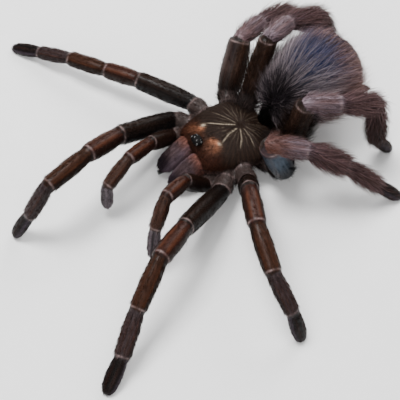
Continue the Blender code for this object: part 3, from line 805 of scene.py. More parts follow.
def shield_colours(points, look):
    """Olive brown velvet combed from the pit, cream hairs in furrows, rust round the eyes."""
    x, y, z = points.T
    side = np.abs(x)
    spoke, reach = np.arctan2(x, y + 0.2), np.hypot(x, y + 0.2)
    comb = waves(spoke * 47 + reach * 0.6, spoke * 83 + 2 - reach * 0.5)
    colour = blend(look["shield"], look["shield_dark"], 0.5 - 0.55 * comb * step_curve(reach, 1, 4))
    thin = np.clip(np.sin(spoke * 29 + np.sin(reach * 1.3) * 0.5) * 4 - 3.2, 0, 1)
    colour = blend(colour, look["cream"], thin * bump_curve(reach, 5.5, 2.5) * 0.13)
    hairline = y - 0.25 * np.maximum(side - 4.0, 0.0) + 0.5 * np.sin(x * 1.9)
    fur = waves(x * 7.3 + np.sin(y * 2.1), x * 12.9 - y * 3.1)
    colour = blend(colour, look["clypeus"] * np.exp(0.35 * fur)[:, None],
                   1 - step_curve(hairline, -17.2, -12.0))
    glow = bump_curve(side, 3.6, 2.4) * bump_curve(y, -14.6, 1.6)
    colour = blend(colour, look["patch"], glow * 0.16)
    ragged = 1 + 0.75 * np.sin(x * 5.1 + y * 3.7) * np.sin(y * 6.3 - x * 2.2) + 0.3 * comb
    for across_at, along_at, wide, long, tint, strength in SHIELD_PATCHES:
        patch = bump_curve(x, across_at, wide) * bump_curve(y, along_at, long)
        colour = blend(colour, look[tint], patch ** np.maximum(ragged, 0.4) * strength)
    socket = bump_curve(x, 0.0, 3.3) * bump_curve(y, -16.6, 2.0)
    colour = blend(colour, look["shield_dark"], socket * 0.75)
    for line, width, strength, _ in SHIELD_LINES:
        share, away = line_distance(x, y, line)
        fade = step_curve(share, 0.0, 0.08) * (1 - step_curve(share, 0.75, 1.0))
        broken = 0.88 + 0.12 * np.sin(share * 23 + width * 50)
        pale = bump_curve(away, 0.0, width) * fade * broken
        colour = blend(colour, look["cream"], pale * strength * 0.64)
    return blend(colour, look["edge_fringe"], bump_curve(z, 10.0, 0.5) * 0.4)


# ---------------------------------------------------------------- skin

def store_colours(mesh, colours):
    """Keep one colour for each corner point of a mesh."""
    layer = mesh.attributes.new("marking", "FLOAT_COLOR", "POINT")
    full = np.ones((len(mesh.vertices), 4), dtype=np.float32)
    full[:, :3] = np.clip(colours, 0.0, 1.0)
    layer.data.foreach_set("color", full.ravel())


def vertex_array(mesh, what="co"):
    """The mesh's corner points, or their normals, as rows."""
    values = np.empty(len(mesh.vertices) * 3, dtype=np.float32)
    mesh.vertices.foreach_get(what, values)
    return values.reshape(-1, 3).astype(float)


def set_corners(mesh, places):
    """Put the mesh's corner points at rows of places in metres."""
    mesh.vertices.foreach_set("co", places.astype(np.float32).ravel())
    mesh.update()


def skin_shape():
    """All the flesh as overlapping closed bodies, ready to be melted into one."""
    bm = bmesh.new()
    before = None
    steps, sides = FINENESS["limb"]
    for region in REGIONS:
        if isinstance(region, Egg):
            region.shape(bm)
            continue
        loft(bm, region.rings(steps), ring_point, sides)
        if before is not None and before.limb == region.limb != "body" \
                and before.side == region.side:
            radius = 0.8 * min(*before.size, *region.size)
            bmesh.ops.create_icosphere(bm, subdivisions=3, radius=radius,
                                       matrix=Matrix.Translation(region.start))
        before = region
    return bm


def melted(mesh, step):
    """Melt overlapping closed bodies into one closed skin and ease its steps."""
    rough = bpy.data.objects.new("rough_skin", mesh)
    bpy.context.scene.collection.objects.link(rough)
    remesh = rough.modifiers.new("melt", "REMESH")
    remesh.mode = "VOXEL"
    remesh.voxel_size = step
    graph = bpy.context.evaluated_depsgraph_get()
    made = bpy.data.meshes.new_from_object(rough.evaluated_get(graph))
    bpy.data.objects.remove(rough, do_unlink=True)
    bm = bmesh.new()
    bm.from_mesh(made)
    for _ in range(2):
        bmesh.ops.smooth_vert(bm, verts=bm.verts, factor=0.5, use_axis_x=True, use_axis_y=True,
                              use_axis_z=True)
    bm.to_mesh(made)
    bm.free()
    made.materials.clear()
    made.shade_smooth()
    return made


# ---------------------------------------------------------------- shield, jaws and eyes

def carapace_half_width(y):
    """Outline of the carapace: a blunt front, widest in the middle, a round rear."""
    if y >= CARAPACE_WIDEST:
        share = min((y - CARAPACE_WIDEST) / (CARAPACE_REAR - CARAPACE_WIDEST), 1.0)
        return CARAPACE_HALF_WIDTH * (1 - 0.88 * share ** 2.2) ** 0.5
    share = (y - CARAPACE_FRONT) / (CARAPACE_WIDEST - CARAPACE_FRONT)
    share = min(max(share, 0.0), 1.0)
    side = CLYPEUS_HALF_WIDTH \
        + (CARAPACE_HALF_WIDTH - CLYPEUS_HALF_WIDTH) * math.sin(share * math.pi / 2)
    corner = min((y - CARAPACE_FRONT) / CLYPEUS_ROUNDING, 1.0)
    return side * (0.72 + 0.28 * math.sqrt(max(1 - (1 - corner) ** 2, 0.0)))


def carapace_crest(y):
    """Height of the carapace along its middle."""
    if y < CAPUT_REAR:
        share = (y - CARAPACE_FRONT) / (CAPUT_REAR - CARAPACE_FRONT)
        return CLYPEUS_TOP + (CAPUT_TOP - CLYPEUS_TOP) * math.sin(share * math.pi / 2) ** 0.7
    if y < 0.0:
        return CAPUT_TOP + (THORAX_TOP - CAPUT_TOP) * float(step_curve(y, CAPUT_REAR, 0.0))
    fall = float(step_curve(y, 0.0, CARAPACE_REAR))
    return THORAX_TOP + (CARAPACE_FLOOR + CARAPACE_REAR_RISE - THORAX_TOP) * fall ** 1.3


def shield_relief(x, y):
    """How far the shield dips in the pit and the furrows, less its rise under the eyes."""
    pit = bump_curve(x, 0.0, 1.5) * bump_curve(y - 0.12 * x * x, -0.2, 0.55)
    bowl = bump_curve(x, 0.0, 3.0) * bump_curve(y, -0.2, 3.0)
    rise = bump_curve(x, EYE_MOUND_AT.x, 2.7) * bump_curve(y, EYE_MOUND_AT.y + 0.2, 1.9)
    dip = 1.1 * pit + 0.25 * bowl - rise
    for line, _, _, depth in SHIELD_LINES:
        share, away = line_distance(x, y, line)
        dip += depth * bump_curve(away, 0.0, 0.75) * np.sin(math.pi * (share * 0.8 + 0.2))
    return dip


def carapace_point(y, angle):
    """Skin of the shield at a distance along the body and an angle round it."""
    inside = min(max(y, CARAPACE_FRONT), CARAPACE_REAR)
    half = carapace_half_width(inside) - VELVET_DEPTH
    sideways = math.cos(angle)
    x = half * math.copysign(abs(sideways) ** 0.9, sideways)
    rim = CARAPACE_FLOOR + CARAPACE_RIM
    upward = math.sin(angle)
    if upward < 0:
        return Vector((x, y, rim + CARAPACE_RIM * max(upward * 1.6, -1.0)))
    crest = carapace_crest(inside) - VELVET_DEPTH
    return Vector((x, y, rim + (crest - rim) * upward ** 0.85))


def chelicera_rings(side, steps):
    """Rings of a jaw, sloping from the clypeus down to the fang."""
    known = np.linspace(0.0, 1.0, len(CHELICERA_RINGS))
    rings = []
    for share in np.linspace(0.0, 1.0, steps) ** 0.85:
        top_y, top_z, low_y, low_z, width = [float(np.interp(share, known, column))
                                             for column in zip(*CHELICERA_RINGS)]
        centre = Vector((CHELICERA_MIDDLE * side, (top_y + low_y) / 2, (top_z + low_z) / 2))
        slant = Vector((0.0, top_y - low_y, top_z - low_z))
        rings.append((centre, Vector((1.0, 0.0, 0.0)), slant.normalized(),
                      width / 2 - VELVET_DEPTH, slant.length / 2 - VELVET_DEPTH))
    return rings


def jaw_colours(points, look):
    """Purple brown jaws, reddish by the clypeus, a painted lilac highlight along the inner edge,
    dark at the tip.
    """
    x, y, _ = points.T
    colour = blend(look["jaw_top"], look["jaw"], step_curve(-y, 18.5, 22.5))
    colour = blend(colour, look["jaw_tip"], step_curve(-y, 24.5, 28.0) * 0.85)
    streaks = waves(x * 5.3 + np.sin(y * 0.9), x * 11.7 + y * 0.8)
    colour = colour * np.exp(0.4 * streaks)[:, None]
    # Painted highlight: a lilac sheen along the inner edges, where the jaws meet.
    inner = bump_curve(np.abs(x), 1.2, 1.0) * (1 - step_curve(-y, 18.0, 28.0) * 0.3)
    return blend(colour, look["jaw_edge_highlight"], inner * 0.5)


# ---------------------------------------------------------------- hair

def strand_template(heights):
    """One three-sided strand with a pointed tip: its corners and its triangles."""
    bm = bmesh.new()
    loft(bm, heights, lambda height, turn: (math.sin(turn), math.cos(turn), height), 3)
    tip = [corner for corner in bm.verts if corner.co.z == heights[-1]]
    bmesh.ops.pointmerge(bm, verts=tip, merge_co=(0.0, 0.0, heights[-1]))
    bmesh.ops.triangulate(bm, faces=bm.faces)
    bmesh.ops.recalc_face_normals(bm, faces=bm.faces)
    in_order(bm)
    places = np.array([corner.co for corner in bm.verts])
    faces = np.array([[corner.index for corner in face.verts] for face in bm.faces])
    bm.free()
    return places, faces


def unit_rows(rows):
    """Each row at length one."""
    return rows / np.maximum(np.linalg.norm(rows, axis=1, keepdims=True), 1e-9)


def running_sum(rows):
    """The area under each row's curve from its start to each of its steps."""
    parts = (rows[:, 1:] + rows[:, :-1]) / (2 * BEND_STEPS)
    return np.concatenate([np.zeros((len(rows), 1)), np.cumsum(parts, axis=1)], axis=1)


def hair_mesh(name, strands, heights):
    """Many curved strands as one mesh, with each one's colour and bake patch at its root.

    strands holds, one row for each strand: root, lie, normal, length, width, lift and
    droop (angles off the skin at root and tip), sway, colour, tip colour and place.
    """
    places, faces = strand_template(heights)
    up = places[:, 2]
    count, corners = len(strands["root"]), len(places)
    normal = unit_rows(strands["normal"])
    lie = strands["lie"] - normal * np.sum(strands["lie"] * normal, axis=1, keepdims=True)
    lie = unit_rows(lie)
    side = np.cross(normal, lie)
    bend = strands["lift"][:, None] + (strands["droop"] - strands["lift"])[:, None] \
        * np.linspace(0.0, 1.0, BEND_STEPS + 1)
    step = np.round(up * BEND_STEPS).astype(int)
    length = strands["length"][:, None]
    run = running_sum(np.cos(bend))[:, step] * length
    rise = running_sum(np.sin(bend))[:, step] * length
    tilt = bend[:, step]
    girth = strands["width"][:, None] * (1.0 - STRAND_TAPER * up ** 1.5)
    wide = strands["sway"][:, None] * length * up ** 2 + girth * 0.5 * places[:, 0]
    thick = girth * STRAND_THICKNESS * places[:, 1]
    points = (strands["root"][:, None, :]
              + lie[:, None, :] * (run - np.sin(tilt) * thick)[..., None]
              + normal[:, None, :] * (rise + np.cos(tilt) * thick)[..., None]
              + side[:, None, :] * wide[..., None]).reshape(-1, 3)
    points[:, 2] = np.maximum(points[:, 2], HAIR_FLOOR)
    index = (faces[None, :, :] + (np.arange(count) * corners)[:, None, None]).reshape(-1, 3)
    mesh = bpy.data.meshes.new(name)
    mesh.vertices.add(count * corners)
    set_corners(mesh, (points + np.array(BODY_AT)) * MM)
    mesh.loops.add(index.size)
    mesh.loops.foreach_set("vertex_index", index.astype(np.int32).ravel())
    mesh.polygons.add(len(index))
    mesh.polygons.foreach_set("loop_start", np.arange(0, index.size, 3, dtype=np.int32))
    mesh.polygons.foreach_set("use_smooth", np.ones(len(index), dtype=bool))
    mesh.update(calc_edges=True)
    shade = up[None, :, None]
    colours = strands["colour"][:, None, :] * (1 - shade) + strands["tip"][:, None, :] * shade
    store_colours(mesh, colours.reshape(-1, 3))
    patch = np.stack([np.arctan2(places[:, 1], places[:, 0]) / (2 * math.pi), up - 0.5],
                     axis=1) * BAKE_PATCH
    spot = (strands["place"][:, None, :] * 0.99 + 0.005 + patch[None, :, :]).reshape(-1, 2)
    layer = mesh.uv_layers.new(name="OFBake")
    layer.uv.foreach_set("vector", spot[index.ravel()].astype(np.float32).ravel())
    mesh.validate()
    return mesh


SHORT_STRAND = (0.0, 0.5, 1.0)
LONG_STRAND = (0.0, 1 / 3, 2 / 3, 1.0)


class Ground:
    """Triangles of a piece that hair grows from."""

    def __init__(self, name):
        mesh = bpy.data.objects[name].data
        mesh.calc_loop_triangles()
        triangles = np.empty(len(mesh.loop_triangles) * 3, dtype=np.int32)
        mesh.loop_triangles.foreach_get("vertices", triangles)
        self.triangles = triangles.reshape(-1, 3)
        self.points = body_points(vertex_array(mesh))
        self.normals = vertex_array(mesh, "normal")
        corners = self.points[self.triangles]
        self.areas = np.linalg.norm(np.cross(corners[:, 1] - corners[:, 0],
                                             corners[:, 2] - corners[:, 0]), axis=1) / 2
        self.middles = corners.mean(axis=1)

    def scatter(self, density, count, draw):
        """Roots on the surface, thicker where the density is higher: points and normals."""
        weight = self.areas * density
        face = draw.choice(len(weight), size=count, p=weight / weight.sum())
        first, second = draw.random(count), draw.random(count)
        over = first + second > 1
        first[over], second[over] = 1 - first[over], 1 - second[over]
        shares = np.stack([1 - first - second, first, second], axis=1)[:, :, None]
        picked = self.triangles[face]
        return ((self.points[picked] * shares).sum(axis=1),
                unit_rows((self.normals[picked] * shares).sum(axis=1)))


def region_rows(found, key):
    """One value, or one row of them, for each root, taken from its region."""
    return np.array([key(region) for region in REGIONS], dtype=float)[found]


def by_kind(found, table, other):
    """A table's columns for each root, by the kind of its region."""
    return region_rows(found, lambda item: table.get(item.kind, other)).T


def is_part(found, limb, kind):
    """Which roots are on one segment of one pair of limbs, as 1 or 0."""
    return region_rows(found, lambda item: (item.limb, item.kind) == (limb, kind))


def limb_places(found, share, turn, names):
    """Places on an unwrap of the limbs: along each limb, and round it in its own band."""
    places = np.full((len(found), 2), 0.5)
    for number, region in enumerate(REGIONS):
        key = (region.limb, region.side)
        if key not in names:
            continue
        here = found == number
        start, end = region.strip
        places[here, 0] = start + (end - start) * share[here]
        places[here, 1] = (names.index(key) + 0.5 + turn[here] / (2 * math.pi)) / len(names)
    return places


def grow(name, slot_name, heights, draw, roots, normals, lies, colours, places, length, width,
         lift, droop, pale, spread):
    """Grow a piece of hair, each strand a little different from its neighbours."""
    count = len(roots)
    vary = draw.normal(1.0, LENGTH_SPREAD, count).clip(0.5, 1.6)
    tone = draw.normal(1.0, spread, count).clip(0.35, 2.2)[:, None]
    stray = draw.normal(0.0, LIE_SPREAD, (count, 3))
    strands = {
        "root": roots - normals * ROOT_DEPTH,
        "normal": normals,
        "lie": lies + stray,
        "length": length * vary,
        "width": width * draw.uniform(0.8, 1.2, count),
        "lift": lift * draw.uniform(0.6, 1.4, count),
        "droop": droop + draw.normal(0.0, DROOP_SPREAD, count),
        "sway": draw.normal(0.0, SWAY_SPREAD, count),
        "colour": colours * tone,
        "tip": blend(colours * tone, palette()["hair_tip"], pale),
        "place": places,
    }
    hair = bpy.data.materials.get("spider_hair") or hair_material()
    add_piece(name, hair_mesh(name, strands, heights), [hair])


# ---------------------------------------------------------------- settings

PALETTE = {
    # name: default, what it colours
    "femur": ("#060404", "Femora: near black"),
    "femur_side": ("#0b0f11", "Sides of the femora: black with a blue gloss"),
    "femur_top": ("#1a0e08", "Stripe along the top of the femora"),
    "hind_femur": ("#4a3830", "Femora of the hind legs"),
    "bare_flank": ("#2c3845", "Inner side of the third femora: bare blue grey"),
    "palp_femur": ("#1b0e0a", "Femora of the palps: dark red brown"),
    "coxa": ("#352c2a", "Coxae and trochanters: grey brown"),
    "patella": ("#260f08", "Patellae: rust"),
    "patella_edge": ("#140a07", "Sides of the patellae"),
    "hind_patella": ("#6b5d64", "Patellae of the hind legs: pinkish"),
    "tibia": ("#26140b", "Tibiae"),
    "tibia_edge": ("#0d0705", "Sides of tibiae and metatarsi"),
    "palp_tibia": ("#2f1f19", "Tibiae of the palps"),
    "hind_tibia": ("#3f3135", "Tibiae of the hind legs"),
    "metatarsus": ("#2a2122", "Metatarsi"),
    "hind_metatarsus": ("#271d1f", "Metatarsi of the hind legs"),
    "tarsus": ("#070404", "Tarsi: near black"),
    "tarsus_oval": ("#1c0e0b", "Brown ovals beside the groove of the tarsi"),
    "palp_tarsus": ("#463e42", "Tarsi of the palps: lilac grey"),
    "scopula": ("#302830", "Velvet pads at the sides of the feet"),
    "groove": ("#050303", "Groove along the top of the tarsi"),
    "ring": ("#8f7a78", "Pale rings at the joints"),
    "bald": ("#4f2c1c", "Bald stripes on patellae and tibiae"),
    "underside": ("#120e0d", "Underside of the forebody"),
    "abdomen": ("#3d3c46", "Short coat on the abdomen's back"),
    "abdomen_blue": ("#152a55", "Steel blue patch on the abdomen"),
    "abdomen_side": ("#392b2d", "Sides and rear of the abdomen"),
    # Painted shade on the abdomen by the waist.
    "abdomen_waist_shade": ("#1f1b1e", "Abdomen by the waist"),
    "pale_hair": ("#96898d", "Long hair on the abdomen's front half: lilac"),
    "long_hair": ("#94756f", "Long hair on the abdomen's rear: rosy brown"),
    "brush_hair": ("#745a5b", "Brushes on the hind legs"),
    "shield": ("#251913", "Shield over the forebody: olive brown"),
    "shield_dark": ("#140d09", "Darker lines combed into the shield"),
    "cream": ("#cfbfa8", "Cream lines on the shield"),
    "patch": ("#a3694c", "Orange patches behind the eyes"),
    "clypeus": ("#2e150c", "Front of the shield: rusty"),
    "edge_fringe": ("#5c4f50", "Fringe at the shield's edge"),
    "jaw": ("#4e3f42", "Jaws: purple brown"),
    "jaw_top": ("#7a5046", "Jaws by the shield: reddish"),
    "jaw_tip": ("#150f1c", "Tips of the jaws: dark purple"),
    # Painted lilac highlight along the inner edges of the jaws.
    "jaw_edge_highlight": ("#7c6b78", "Inner edges of the jaws: lilac"),
    "hair_tip": ("#5a443a", "Colour that hair tips fade to"),
    "horn": ("#060505", "Eyes, fangs and claws"),
}


LENGTHS = {
    # name: default in mm, what it measures
    "leg_hair": (1.35, "Length of the short hair on the legs"),
    "brush_hair": (6.2, "Length of the brushes on the hind legs"),
    "abdomen_hair": (9.0, "Length of the long hair on the abdomen"),
    "undercoat_hair": (2.1, "Length of the short hair on the abdomen"),
    "velvet": (0.6, "Length of the velvet on the shield and jaws"),
    "skin_step": (0.53, "Size of the steps that the skin is melted in"),
}


NUMBERS = {
    # name: default, what it counts
    "leg_strands": (14500, "Short hairs on each of four groups of limbs"),
    "brush_strands": (10500, "Long hairs on each side's hind legs"),
    "abdomen_strands": (11500, "Long hairs on the abdomen"),
    "undercoat_strands": (17500, "Short hairs on the abdomen"),
    "velvet_strands": (11000, "Short hairs on the shield"),
}


def title(name):
    """A setting's name as the panel shows it."""
    return name.replace("_", " ").capitalize()


class TarantulaColours(bpy.types.PropertyGroup):
    """Colours of the animal's markings."""

    __annotations__ = {
        name: FloatVectorProperty(name=title(name), description=words, default=hex_colour(value),
                                  subtype="COLOR", size=3, min=0.0, max=1.0)
        for name, (value, words) in PALETTE.items()
    }


class TarantulaCoat(bpy.types.PropertyGroup):
    """Lengths and numbers of the hairs, and the fineness of the skin."""

    __annotations__ = {
        name: FloatProperty(name=title(name), description=words, default=value * MM,
                            min=0.1 * MM, unit="LENGTH")
        for name, (value, words) in LENGTHS.items()
    } | {
        name: IntProperty(name=title(name), description=words, default=value, min=1)
        for name, (value, words) in NUMBERS.items()
    }


class TarantulaStage(bpy.types.PropertyGroup):
    """Camera and light."""

    azimuth: FloatProperty(name="Azimuth", default=math.radians(62.0), subtype="ANGLE",
                           description="Camera's turn round the animal, from straight ahead")
    elevation: FloatProperty(name="Elevation", default=math.radians(55.0), subtype="ANGLE",
                             description="Camera's height above the floor as an angle")
    distance: FloatProperty(name="Distance", default=0.353, min=0.05, unit="LENGTH",
                            description="From the camera to the place it looks at")
    field: FloatProperty(name="Field of view", default=math.radians(21.75), subtype="ANGLE",
                         description="Angle that the picture covers")
    key_light: FloatProperty(name="Key light", default=8.0, min=0.0,
                             description="Power of the main soft light in watts")


def palette():
    """The colours as set in the panel."""
    colours = bpy.context.scene.tarantula_colours
    return {name: np.array(getattr(colours, name)) for name in PALETTE}


# ---------------------------------------------------------------- operators

class MakeSkin(bpy.types.Operator):
    """Melt the body's soft parts and all the limbs into one skin with its markings."""

    bl_idname = "tarantula.skin"
    bl_label = "Skin"

    def execute(self, context):
        step = context.scene.tarantula_coat.skin_step
        mesh = melted(mesh_from("skin", skin_shape()), step)
        points = vertex_array(mesh)
        points[:, 2] = np.maximum(points[:, 2], 0.0)
        set_corners(mesh, points)
        store_colours(mesh, flesh_colours(body_points(points), palette())[0])
        apart = ("carapace", "eyes", "chelicera_left", "chelicera_right", "fang_left", "fang_right")
        flesh = [name for name in frame["nodes"] if name not in apart]
        add_piece("skin", mesh, [skin_material()], flesh)
        return {"FINISHED"}


class MakeShield(bpy.types.Operator):
    """Make the carapace with its pit, ribs and markings."""

    bl_idname = "tarantula.shield"
    bl_label = "Shield"

    def execute(self, context):
        front, rear = CARAPACE_FRONT + VELVET_DEPTH, CARAPACE_REAR - VELVET_DEPTH
        steps, sides = FINENESS["shield"]
        shares = 0.5 - 0.5 * np.cos(np.linspace(0.0, math.pi, steps))
        bm = bmesh.new()
        loft(bm, [float(front + (rear - front) * share) for share in shares], carapace_point,
             sides)
        mesh = mesh_from("carapace_velvet", bm)
        points = vertex_array(mesh)
        x, y, z = body_points(points).T
        points[:, 2] -= shield_relief(x, y) * step_curve(z, 10.7, 12.7) * MM
        set_corners(mesh, points)
        store_colours(mesh, shield_colours(body_points(points), palette()))
        add_piece("carapace_velvet", mesh, [shield_material()], ["carapace"])
        return {"FINISHED"}


class MakeJaws(bpy.types.Operator):
    """Make the two chelicerae and the fangs folded under them."""

    bl_idname = "tarantula.jaws"
    bl_label = "Jaws and fangs"

    def execute(self, context):
        velvet = shield_material()
        black = horn_material("polished_fang", 0.18)
        (jaw_steps, jaw_sides), (fang_steps, fang_sides) = FINENESS["jaw"], FINENESS["fang"]
        for side_name, side in SIDES.items():
            bm = bmesh.new()
            loft(bm, chelicera_rings(side, jaw_steps), ring_point, jaw_sides)
            mesh = mesh_from(f"jaw_{side_name}", bm)
            store_colours(mesh, jaw_colours(body_points(vertex_array(mesh)), palette()))
            add_piece(f"jaw_{side_name}", mesh, [velvet],
                      [f"chelicera_{side_name}"])
            rings = []
            for share in np.linspace(0.0, 1.0, fang_steps):
                centre = Vector((FANG_ROOT.x * side, FANG_ROOT.y + FANG_LENGTH * share,
                                 FANG_ROOT.z - FANG_SAG * math.sin(share * math.pi)))
                radius = FANG_RADIUS * (1 - share) ** 0.6 + FANG_TIP * share
                rings.append((centre, Vector((1.0, 0.0, 0.0)), Vector((0.0, 0.0, 1.0)),
                              radius * 0.8, radius * 0.95))
            bm = bmesh.new()
            loft(bm, rings, ring_point, fang_sides)
            name = f"fang_{side_name}_curved"
            add_piece(name, mesh_from(name, bm), [black], [f"fang_{side_name}"])
        return {"FINISHED"}


class MakeEyes(bpy.types.Operator):
    """Make the eye mound and its eight glossy eyes, one piece with two finishes."""

    bl_idname = "tarantula.eyes"
    bl_label = "Eyes"

    def execute(self, context):
        bm = bmesh.new()
        rings, sides = FINENESS["eye mound"]
        placed = Matrix.Translation(EYE_MOUND_AT) @ Matrix.Diagonal((*EYE_MOUND_SIZE, 1.0))
        bmesh.ops.create_uvsphere(bm, u_segments=sides, v_segments=rings, radius=1.0,
                                  matrix=placed)
        mound = set(bm.faces)
        rings, sides = FINENESS["eye"]
        for sideways, forwards, up, radius in EYE_ROWS:
            for side in SIDES.values():
                centre = EYE_MOUND_AT + Vector((side * sideways, -forwards, up - radius * 0.35))
                bmesh.ops.create_uvsphere(bm, u_segments=sides, v_segments=rings, radius=radius,
                                          matrix=Matrix.Translation(centre))
        for face in bm.faces:
            face.material_index = 0 if face in mound else 1
        mesh = mesh_from("eye_group", bm)
        store_colours(mesh, palette()["horn"])
        add_piece("eye_group", mesh, [shield_material(), horn_material("glossy_eye", 0.05)],
                  ["eyes"])
        return {"FINISHED"}


class MakeClaws(bpy.types.Operator):
    """Make the paired claws at the tips of the feet as one piece."""

    bl_idname = "tarantula.claws"
    bl_label = "Claws"

    def execute(self, context):
        bm = bmesh.new()
        steps, sides = FINENESS["claw"]
        feet = [region for region in REGIONS if region.kind == "tarsus"]
        for foot, side in itertools.product(feet, SIDES.values()):
            rings = []
            for share in np.linspace(0.0, 1.0, steps):
                centre = foot.start + foot.way * (foot.length * 0.97 + CLAW_LENGTH * share) \
                    + foot.level * (CLAW_APART * side * (1 + 0.6 * share)) \
                    + foot.upright * (CLAW_ARCH * math.sin(share * math.pi))
                centre.z = max(centre.z, CLAW_LOWEST)
                radius = (CLAW_RADIUS - CLAW_TIP) * (1 - share) + CLAW_TIP
                rings.append((centre, foot.level, foot.upright, radius, radius))
            loft(bm, rings, ring_point, sides)
        mesh = mesh_from("foot_claws", bm)
        add_piece("foot_claws", mesh, [horn_material("polished_claw", 0.25)])
        return {"FINISHED"}


class GrowLegCoat(bpy.types.Operator):
    """Grow the short hair of the limbs, the forebody's underside and the spinnerets."""

    bl_idname = "tarantula.leg_coat"
    bl_label = "Leg coat"

    def execute(self, context):
        coat = context.scene.tarantula_coat
        ground = Ground("skin")
        found, share, turn = locate(ground.middles)
        thick, _ = by_kind(found, LEG_COAT, BARE)
        bald = region_rows(found, lambda item: item.kind in ("patella", "tibia"))
        flank = region_rows(found, lambda item: item.side) * is_part(found, "leg_3", "femur")
        left = (1 - share) * region_rows(found, lambda item: item.length)
        joint = region_rows(found, lambda item: item.limb != "body" and item.kind != "tarsus")
        thick = thick * (1 - 0.85 * bald * bald_stripes("patella", np.abs(turn))) \
            * (1 - 0.9 * np.abs(flank) * step_curve(-turn * flank, -0.4, 0.1)) \
            * (1 - 0.85 * joint * (1 - step_curve(left, 1.2, 2.2)))
        groups = itertools.product(LIMB_GROUPS.items(), SIDES.items())
        for number, ((end, limbs), (side_name, side)) in enumerate(groups):
            draw = np.random.default_rng(SEED + number)
            members = [(limb, side) for limb in limbs]
            inside = region_rows(found, lambda item: (item.limb, item.side) in members) > 0
            near = (region_rows(found, lambda item: item.limb == "body") > 0) \
                & ((ground.middles[:, 1] > REAR_FROM) == (end == "hind")) \
                & ((ground.middles[:, 0] > 0) == (side > 0))
            roots, normals = ground.scatter((inside | near) * thick, coat.leg_strands, draw)
            colours, where, along, angle = flesh_colours(roots, palette())
            length = coat.leg_hair / MM * by_kind(where, LEG_COAT, BARE)[1]
            shaggy = region_rows(where, lambda item: item.kind in ("coxa", "pedicel", "body wall"))
            upright = draw.random(len(roots)) < 0.03
            lift = np.where(upright, 0.6, 0.36 + 0.34 * shaggy)
            grow(f"coat_{end}_{side_name}", "near_black_hair", SHORT_STRAND, draw, roots, normals,
                 region_rows(where, lambda item: item.way), colours * 1.3,
                 limb_places(where, along, angle, members), length * np.where(upright, 1.7, 1.0),
                 np.where(upright, 0.09, 0.17), lift, lift * 0.25, 0.2 + 0.2 * upright, 0.24)
        return {"FINISHED"}


class GrowBrushes(bpy.types.Operator):
    """Grow the brushes of the hind legs, and hair round their hips and the waist darkened with
    painted shade.
    """

    bl_idname = "tarantula.brushes"
    bl_label = "Brushes"

    def execute(self, context):
        coat = context.scene.tarantula_coat
        ground = Ground("skin")
        found, share, _ = locate(ground.middles)
        thick, _, _ = by_kind(found, BRUSHES, NO_BRUSH)
        rearward = ground.normals[ground.triangles[:, 0], 1]
        fringe = (is_part(found, "leg_3", "femur") * np.maximum(rearward, 0.0)
                  + is_part(found, "leg_4", "femur") * np.abs(rearward)) \
            * (1 - step_curve(share, 0.5, 0.85))
        waist = is_part(found, "body", "pedicel") > 0
        for number, (side_name, side) in enumerate(SIDES.items()):
            draw = np.random.default_rng(SEED + 20 + number)
            members = [(limb, side) for limb in LIMB_GROUPS["hind"]]
            inside = region_rows(found, lambda item: (item.limb, item.side) in members) > 0
            near = waist & (ground.middles[:, 0] * side > 0)
            roots, normals = ground.scatter((inside | near) * (thick + fringe),
                                            coat.brush_strands, draw)
            colours, where, along, angle = flesh_colours(roots, palette())
            _, reach, smoky = by_kind(where, BRUSHES, NO_BRUSH)
            hips = smoky == 0
            third = region_rows(where, lambda item: item.limb == "leg_3")
            length = coat.brush_hair / MM * reach * (1 - 0.45 * step_curve(along, 0.5, 1.0)) \
                * np.where(hips, 1.5 - third, 1.0)
            tint = draw.uniform(0.0, 1.0, len(roots)) ** 1.3 * smoky
            # Painted shade: hair round the hips, the femur fringes and the waist is darkened to
            # 0.38 under the body; the far part of the fourth metatarsi is darkened too.
            black = hips | (is_part(where, "leg_4", "metatarsus") > 0) & (along > 0.25)
            colours = blend(colours, palette()["brush_hair"], tint) \
                * np.where(black, 0.38, 1.0)[:, None]
            lift = np.where(hips, 0.85, 0.46)
            grow(f"brush_{side_name}", "smoky_brown_hair", LONG_STRAND, draw, roots, normals,
                 region_rows(where, lambda item: item.way), colours,
                 limb_places(where, along, angle, members), length, 0.13, lift, lift * 0.2,
                 0.35 * (1 - hips), 0.45)
        return {"FINISHED"}


